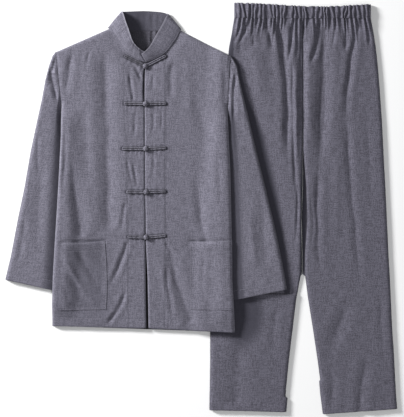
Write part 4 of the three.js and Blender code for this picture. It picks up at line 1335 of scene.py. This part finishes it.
def leg_top(side, x, y, s, width, drop):
    """Height of a leg's front."""
    waist = waist_place(side, s)
    depth, run = uneven_wave(waist, 21)
    gathers = WAVE_HEIGHT * wave(waist) * depth * (1 - smooth(drop / (WAVE_DROP * run)))
    tails = 0.7 * np.cos(2 * np.pi * WAVES * waist / TAIL_WIDTH + 0.7)
    tails = tails * np.exp(-drop / TAIL_LENGTH) * smooth(drop / 25)
    shown = leg_shown(x, y)
    air = LEG_PRESSED_AIR + (AIR - LEG_PRESSED_AIR) * shown
    wobble = LEG_WOBBLE * ripples(x, y, LEG_WOBBLE_SIZE, 33)
    drape = fold_height(LEG_FOLDS[side], x + wobble, y) + softness(x, y, LEG_SOFT)
    lines = LEG_LINES[side]
    hem_y = lines[0][0][1] + (lines[0][1][1] - lines[0][0][1]) * s
    turned = 0.4 * smooth((hem_y - y) / 4)
    sewn = puckers(lines, x, y) - 0.25 * seam_mark(lines, x, y)
    edge_width = EDGE_ROUND - 7 * bump((y - 500) / 170)
    inner_round = np.maximum(round_off((1 - s) * width, edge_width), smooth((y - 960) / 20))
    lift = air + drape * shown + gathers + tails + turned + sewn
    raised = np.maximum(lift, LEAST_AIR) * (round_off(s * width) * inner_round)
    return leg_back_rest(side, s, width, drop) + 2 * CLOTH + SEAM_GAP + raised


# %% Trouser legs
LEG_CELL, LEG_COLUMNS = 3.6, 112
LEG_BACK_CELL, LEG_BACK_COLUMNS = 8.0, 66
CROTCH = 655


def leg_points(side, cell, columns, inner="innerX"):
    """A leg's points, its columns' shares, its width and the distance below the waist."""
    rows = dict(LEGS[side], innerX=LEGS[side][inner])
    u = rows_along(rows, ("outer", "inner"), cell)
    s = np.linspace(0, 1, columns)[None, :]
    x, y = across(rows, "outer", "inner", u, s)
    _, width = row_ends(rows, "outer", "inner", u)
    return x, y, s, width, rows["outerY"][0] - y


def leg_front(side):
    """A leg's front, with painted shade in its gathers and beside the jacket."""
    x, y, s, width, drop = leg_points(side, LEG_CELL, LEG_COLUMNS)
    hem, *inseam = LEG_LINES[side]
    waist = waist_place(side, s)
    depth, run = uneven_wave(waist, 21)
    valleys = in_valley(waist, depth) * (1 - smooth(drop / (0.8 * WAVE_DROP * run)))
    sides = np.minimum(s, 1 - s + (y > CROTCH)) * width
    # dark stitched lines, darker along the centre seam and the waist, and painted shade in the
    # gathers' valleys, beside the jacket and along the turned edges
    seam = np.maximum.reduce([
        0.25 * seam_mark([hem], x, y),
        0.45 * seam_mark(inseam, x, y, 2.2),
        0.9 * bump((1 - s) * width / 2.2) * smooth((y - CROTCH) / 12),
        0.25 * bump(drop / 4),
        0.5 * valleys,
        0.9 * (side == "right") * leg_shade(x, y),
        EDGE_SHADE * bump(sides / EDGE_LINE),
        EDGE_SHADE * bump((y - y[-1:]) / EDGE_LINE),
    ])
    return cloth_piece(
        f"trouser_front_{side}", (x, y, leg_top(side, x, y, s, width, drop)), (x, y),
        TROUSERS_AT, slate_trouser_painted_shade_cloth, seam,
    )


def leg_back(side):
    """A leg's back, which shows only as a line between the legs, painted dark as shade."""
    x, y, s, width, drop = leg_points(side, LEG_BACK_CELL, LEG_BACK_COLUMNS, "backX")
    z = leg_back_rest(side, s, width, drop) + CLOTH
    painted_shade_between_legs = bump((1 - s) * width / 22) * smooth((y - 342) / 8) * smooth((660 - y) / 40)
    cloth_piece(
        f"trouser_back_{side}", (x, y, z), (x, y), TROUSERS_AT, slate_trouser_painted_shade_cloth,
        painted_shade_between_legs, wall=BACK_WALL,
    )


trouser_fronts = {side: leg_front(side) for side in SIDES}
for side in SIDES:
    leg_back(side)

# %% [markdown]
# ## The waistband
# The casing holds a wide elastic, which gathers it into small upright waves. It is a flattened
# ring. The wave's depth and lean change from one gather to the next, and the band is a little
# thicker halfway up, where the elastic is.

# %% Waistband
BAND_LEVELS, BAND_HEIGHT = 15, 36
FRONT_SAMPLES, BACK_SAMPLES = 9, 4  # points for each gather
BAND_BULGE = 1.2
BAND_WAVE = 3.4
BAND_JOINT = -0.2  # where the legs meet at the waist

band_low, band_high = WAISTBAND["x"][0], WAISTBAND["x"][-1]
band_width = band_high - band_low
joint = (BAND_JOINT - band_low) / band_width


def band_layer(level, samples, front):
    """Across, up and depth in a gather, for the band's front or its back."""
    place = np.linspace(0, 1, WAVES * samples + 1)
    waist = np.where(place < 0.5, place * 2 * joint, joint + (place - 0.5) * 2 * (1 - joint))
    lean = 0.009 * np.sin(place * 29) * level + 0.004 * np.sin(place * 97 + 3 * level)
    depth, _ = uneven_wave(place, 22)
    x = band_low + SIDE_INSET + (band_width - 2 * SIDE_INSET) * waist
    away = np.minimum(waist, 1 - waist) * band_width + SIDE_INSET
    back = BACK_WAVE_HEIGHT * wave(place) * round_off(away)
    if not front:
        return np.stack([x, back, np.zeros(len(x))])[:, ::-1]
    lift = AIR + BAND_BULGE * bump(level) + BAND_WAVE * wave(place + lean) * depth
    z = back + 2 * BAND_WALL + SEAM_GAP + lift * round_off(away)
    return np.stack([x, z, in_valley(place + lean, depth)])


def band_ring(share):
    """Points once round the band, at a share of its height."""
    level = 2 * share - 1
    front, back = (
        band_layer(level, samples, front)
        for samples, front in ((FRONT_SAMPLES, True), (BACK_SAMPLES, False))
    )
    low_side, high_side = (
        np.array([[at], [BAND_WALL + 1.2], [0]]) for at in (band_low, band_high)
    )
    x, z, valleys = np.hstack([front, high_side, back, low_side, front[:, :1]])
    low, high = (look_up(WAISTBAND, "x", x, edge) for edge in ("lowerY", "upperY"))
    scallop = 1.5 * smooth((share - 0.7) / 0.3) * (0.5 - valleys)
    return x, low + (high - low) * share + scallop * (z > BAND_WALL + 2), z, valleys


# %% The casing
levels = np.linspace(0, 1, BAND_LEVELS)
x, y, z, valleys = (np.stack(parts) for parts in zip(*(band_ring(share) for share in levels)))
girth = girths(np.hypot(np.diff(x, axis=1), np.diff(z, axis=1)))
up = levels[:, None] * BAND_HEIGHT
# a dark casing stitch line, painted shade in the gathers' valleys, and a paler top edge
cloth_piece(
    "waistband", (x, y, z), (girth, up), TROUSERS_AT, slate_trouser_painted_shade_cloth,
    np.maximum(0.45 * bump((up - 3.5) / 2.2), 0.6 * valleys),
    0.5 * bump((BAND_HEIGHT - up) / 3), BACK_WALL,
)

# %% [markdown]
# ## Stitches
# The thread has the colour of the cloth, and each stitch is a small pill that lies half in it. One
# stitch is modelled and copied along each stitched line, at the height of the cloth there, which a
# ray straight down finds.

# %% One stitch
STITCH_LENGTH, STITCH_PITCH, STITCH_RADIUS = 2.5, 3.6, 0.3

bpy.ops.object.select_all(action="DESELECT")
bpy.ops.mesh.primitive_cylinder_add(
    vertices=6, radius=STITCH_RADIUS * MM, depth=STITCH_LENGTH * MM, rotation=(0, math.pi / 2, 0)
)
stitch_model = bpy.context.object
bpy.ops.object.transform_apply(rotation=True)
rounding = stitch_model.modifiers.new("round_ends", "BEVEL")
rounding.width = 0.18 * MM
rounding.segments = 1
bpy.ops.object.modifier_apply(modifier=rounding.name)
stitch_points = np.array([v.co for v in stitch_model.data.vertices])
stitch_faces = [list(face.vertices) for face in stitch_model.data.polygons]
bpy.data.objects.remove(stitch_model)
print("one stitch has", len(stitch_faces), "faces")


# %% Rows of stitches
def stitch_row(name, cloth, lines, garment_at):
    """Copies of the stitch along lines of the garment, joined to one piece that rides with it."""
    ground = BVHTree.FromObject(cloth, bpy.context.evaluated_depsgraph_get())
    points, faces = [], []
    for line in lines:
        path = (np.array(line, float) + garment_at) * MM
        runs = length_along(path)
        for run in np.arange(STITCH_PITCH / 2, runs[-1] / MM, STITCH_PITCH) * MM:
            ends = []
            for step in (-0.5, 0.5):
                at = run + step * STITCH_LENGTH * MM
                x, y = (np.interp(at, runs, path[:, k]) for k in (0, 1))
                hit = ground.ray_cast(Vector((x, y, 1)), Vector((0, 0, -1)))[0]
                if hit:
                    ends.append(np.array(hit))
            if len(ends) < 2:
                continue
            ahead = (ends[1] - ends[0]) / max(np.linalg.norm(ends[1] - ends[0]), 1e-9)
            sideways = np.cross([0, 0, 1], ahead)
            sideways /= max(np.linalg.norm(sideways), 1e-9)
            turn = np.stack([ahead, sideways, np.cross(ahead, sideways)])
            first = len(points) * len(stitch_points)
            points.append(stitch_points @ turn + (ends[0] + ends[1]) / 2)
            faces += [[first + i for i in face] for face in stitch_faces]
    mesh = bpy.data.meshes.new(name)
    mesh.from_pydata(np.concatenate(points).tolist(), [], faces)
    thread = bpy.data.objects.new(name, mesh)
    bpy.context.collection.objects.link(thread)
    mesh.materials.append(grey_thread)
    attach(thread, "root")
    print(f"{name}: {len(points)} stitches")


# %% The thread
FLECK_SPACING = 1.2

# Spun polyester sewing thread in the cloth's colour: smoother, so it glints a little on the seams
grey_thread, tree, shader = new_material("grey_polyester_thread")
at = {"Vector": add_node(tree, "ShaderNodeTexCoord").outputs["Object"]}
fleck = add_node(tree, "ShaderNodeTexNoise", at, Scale=1 / (FLECK_SPACING * MM))
shades = add_node(tree, "ShaderNodeValToRGB", {"Fac": fleck.outputs["Fac"]})
for stop, shade in zip(shades.color_ramp.elements, ("7A7885", "918F9C")):
    stop.color = linear(shade)
tree.links.new(shades.outputs["Color"], shader.inputs["Base Color"])
shader.inputs["Roughness"].default_value = 0.6

# %% All stitched lines
STITCH_INSET = 2.2  # from a pocket's edge


def pocket_lines(side):
    """The stitched lines of a pocket: three sides, and its mouth's hem."""
    low_left, low_right, top_right, top_left = (np.array(c, float) for c in POCKET_CORNERS[side])
    inset = STITCH_INSET
    inner_side = [low_right + (-inset, inset), top_right + (-inset, -3)]
    if side == "right":
        sagging = np.linspace(0, 1, 13)[:, None]
        inner_side = inner_side[0] + (inner_side[1] - inner_side[0]) * sagging
        inner_side[:, 0] += POCKET_SAG * np.sin(np.pi * sagging[:, 0])
    return [
        [top_left + (inset, -3), low_left + (inset, inset)],
        [low_left + (inset, inset), low_right + (-inset, inset)],
        inner_side,
        [top_left + (3, -POCKET_MOUTH_HEM), top_right + (-3, -POCKET_MOUTH_HEM)],
    ]


def cuff_line(side):
    """The hem's stitched line, parallel to the cuff."""
    rows = SLEEVES[side]
    slant = np.array([rows["outer" + axis][-2] - rows["outer" + axis][-1] for axis in "XY"])
    up_sleeve = slant / np.hypot(*slant) * CUFF_HEM
    ends = [[rows[part + axis][-1] for axis in "XY"] for part in ("outer", "inner")]
    return np.array(ends) + up_sleeve


for side in SIDES:
    stitch_row(f"front_{side}_stitches", fronts[side], FRONT_LINES[side], JACKET_AT)
    stitch_row(f"pocket_{side}_stitches", pockets[side], pocket_lines(side), JACKET_AT)
    stitch_row(f"sleeve_{side}_stitches", sleeves[side], [cuff_line(side)], JACKET_AT)
    stitch_row(f"trouser_{side}_stitches", trouser_fronts[side], LEG_LINES[side], TROUSERS_AT)

# %% [markdown]
# ## Frogs
# A frog is a bias strip that is sewn to a cord, doubled to a strap and stitched down. The right
# strap ends in a ball knot and the left one in the loop that the ball goes through. The strap is a
# closed loop of cord that lies on the front, so a curve with a round section gives it. The knot is
# woven: bands of cord over and under each other round a core.


# %% The cord's finish
def cover_with_cord(piece, node, shade):
    """Gives a piece the cord's cloth, its painted shade, a flat UV map in metres, and its node."""
    mesh = piece.data
    layer = mesh.uv_layers.get("UVMap") or mesh.uv_layers.new(name="UVMap")
    corners = np.empty(len(mesh.loops), int)
    mesh.loops.foreach_get("vertex_index", corners)
    points = np.array([v.co for v in mesh.vertices])
    layer.uv.foreach_set("vector", (points[:, :2] + points[:, 2:])[corners].reshape(-1))
    mesh.attributes.new("seam", "FLOAT", "POINT").data.foreach_set("value", shade)
    mesh.materials.clear()
    mesh.materials.append(slate_cord)
    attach(piece, "root")
    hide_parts(node)


# %% Straps
CORD_RADIUS = 1.9
CORD_SEAT = 0.92  # a cord's middle is this share of its radius above the cloth
STRAP_HALF = 2.15  # half the distance between the strap's two cords
STRAP_POINTS = 44
TOP_STRAP_SHADE = 0.6  # painted shade that darkens the top right strap


def surface_height(x, y):
    """Height of the front at a place of the jacket."""
    side = "right" if x < 0 else "left"
    return float(front_top(side, np.array([x]), np.array([y]))[0])


def loop_path(length):
    """Points round a closed loop of that length, along and beside its middle line."""
    straight = length - 2 * STRAP_HALF
    half_way = straight + math.pi * STRAP_HALF
    at = np.arange(STRAP_POINTS) * 2 * half_way / STRAP_POINTS
    coming_back = at >= half_way
    at = at - half_way * coming_back
    angle = np.maximum(at - straight, 0) / STRAP_HALF - math.pi / 2
    ahead = np.minimum(at, straight) + STRAP_HALF * (1 + np.cos(angle))
    beside = STRAP_HALF * np.sin(angle)
    return np.where(coming_back, length - ahead, ahead), np.where(coming_back, -beside, beside)


def strap_loop(name, node, near, far):
    """A closed loop of cord round two places of the front."""
    length = np.hypot(*(far - near))
    ahead = (far - near) / length
    sideways = np.array([-ahead[1], ahead[0]])
    run, beside = loop_path(length)
    path = near + np.outer(run, ahead) + np.outer(beside, sideways)
    curve = bpy.data.curves.new(name, "CURVE")
    curve.dimensions = "3D"
    curve.bevel_depth = CORD_RADIUS * MM
    curve.bevel_resolution = 2
    spline = curve.splines.new("POLY")
    spline.points.add(STRAP_POINTS - 1)
    for point, (x, y) in zip(spline.points, path):
        z = surface_height(x, y) + CORD_RADIUS * CORD_SEAT
        point.co = ((x + JACKET_AT[0]) * MM, (y + JACKET_AT[1]) * MM, z * MM, 1)
    spline.use_cyclic_u = True
    strap = bpy.data.objects.new(name, curve)
    bpy.context.collection.objects.link(strap)
    bpy.ops.object.select_all(action="DESELECT")
    strap.select_set(True)
    bpy.context.view_layer.objects.active = strap
    bpy.ops.object.convert(target="MESH")
    strap = bpy.context.object
    bpy.ops.object.shade_smooth()
    places = np.array([v.co[:2] for v in strap.data.vertices]) / MM - JACKET_AT - near
    beside = np.abs(places @ sideways)
    # painted shade in the groove between the strap's two cords and on its outer sides
    shade = np.maximum(bump(beside / 1.4), smooth((beside - 2.9) / 1.0))
    cover_with_cord(strap, node, np.maximum(shade, TOP_STRAP_SHADE * (node == "frog_1_right")))


# %% Knots
KNOT_RADIUS, KNOT_HEIGHT = 6.4, 5.0
KNOT_CORD = 1.35  # radius of the cord in a ball
KNOT_CORE = KNOT_RADIUS - 1.5  # radius of the core, and of the rings round it
BAND_TILTS = ((0, 0), (58, 20), (-58, 20), (58, 110), (-58, 110), (90, 65), (90, 155))


def ball_knot(name, node, x, y):
    """A woven ball: a core and bands of cord round it."""
    seat = max(surface_height(x + dx, y) for dx in (-4, 4))
    middle = Vector((x + JACKET_AT[0], y + JACKET_AT[1], seat + KNOT_HEIGHT)) * MM
    bpy.ops.object.select_all(action="DESELECT")
    bpy.ops.mesh.primitive_uv_sphere_add(segments=20, ring_count=12, radius=KNOT_CORE * MM)
    parts = [bpy.context.object]
    for tilt, turn in BAND_TILTS:
        bpy.ops.mesh.primitive_torus_add(
            major_segments=28, minor_segments=8,
            major_radius=KNOT_CORE * MM, minor_radius=KNOT_CORD * MM,
            rotation=(math.radians(tilt), 0, math.radians(turn)),
        )
        parts.append(bpy.context.object)
    bpy.ops.object.select_all(action="DESELECT")
    for part in parts:
        part.select_set(True)
    bpy.context.view_layer.objects.active = parts[0]
    bpy.ops.object.join()
    knot = bpy.context.object
    knot.name = knot.data.name = name
    bpy.ops.object.transform_apply(location=True, rotation=True, scale=True)
    points = np.array([v.co for v in knot.data.vertices]) / MM
    # painted shade between the knot's bands and on its lower half
    between_bands = smooth((KNOT_RADIUS - 0.3 - np.linalg.norm(points, axis=1)) / 0.9)
    below = smooth(-points[:, 2] / 3)
    bpy.ops.object.mode_set(mode="EDIT")
    bpy.ops.mesh.select_all(action="SELECT")
    bpy.ops.transform.resize(value=(1.0, 1.08, KNOT_HEIGHT / KNOT_RADIUS))
    bpy.ops.transform.translate(value=middle)
    bpy.ops.object.mode_set(mode="OBJECT")
    bpy.ops.object.shade_smooth()
    cover_with_cord(knot, node, np.maximum(between_bands, below))


# %% The five frogs
for i in range(len(FROGS["knotX"])):
    knot_at, *strap_ends = (
        np.array([FROGS[part + axis][i] for axis in "XY"]) for part in ("knot", "right", "left")
    )
    for side, far in zip(SIDES, strap_ends):
        away = (far - knot_at) / np.hypot(*(far - knot_at))
        near = knot_at + away * KNOT_CORE
        strap_loop(f"frog_{i + 1}_{side}_cord", f"frog_{i + 1}_{side}", near, far)
    ball_knot(f"frog_{i + 1}_ball", f"frog_{i + 1}_knot", *knot_at)
print("frogs:", len(FROGS["knotX"]))
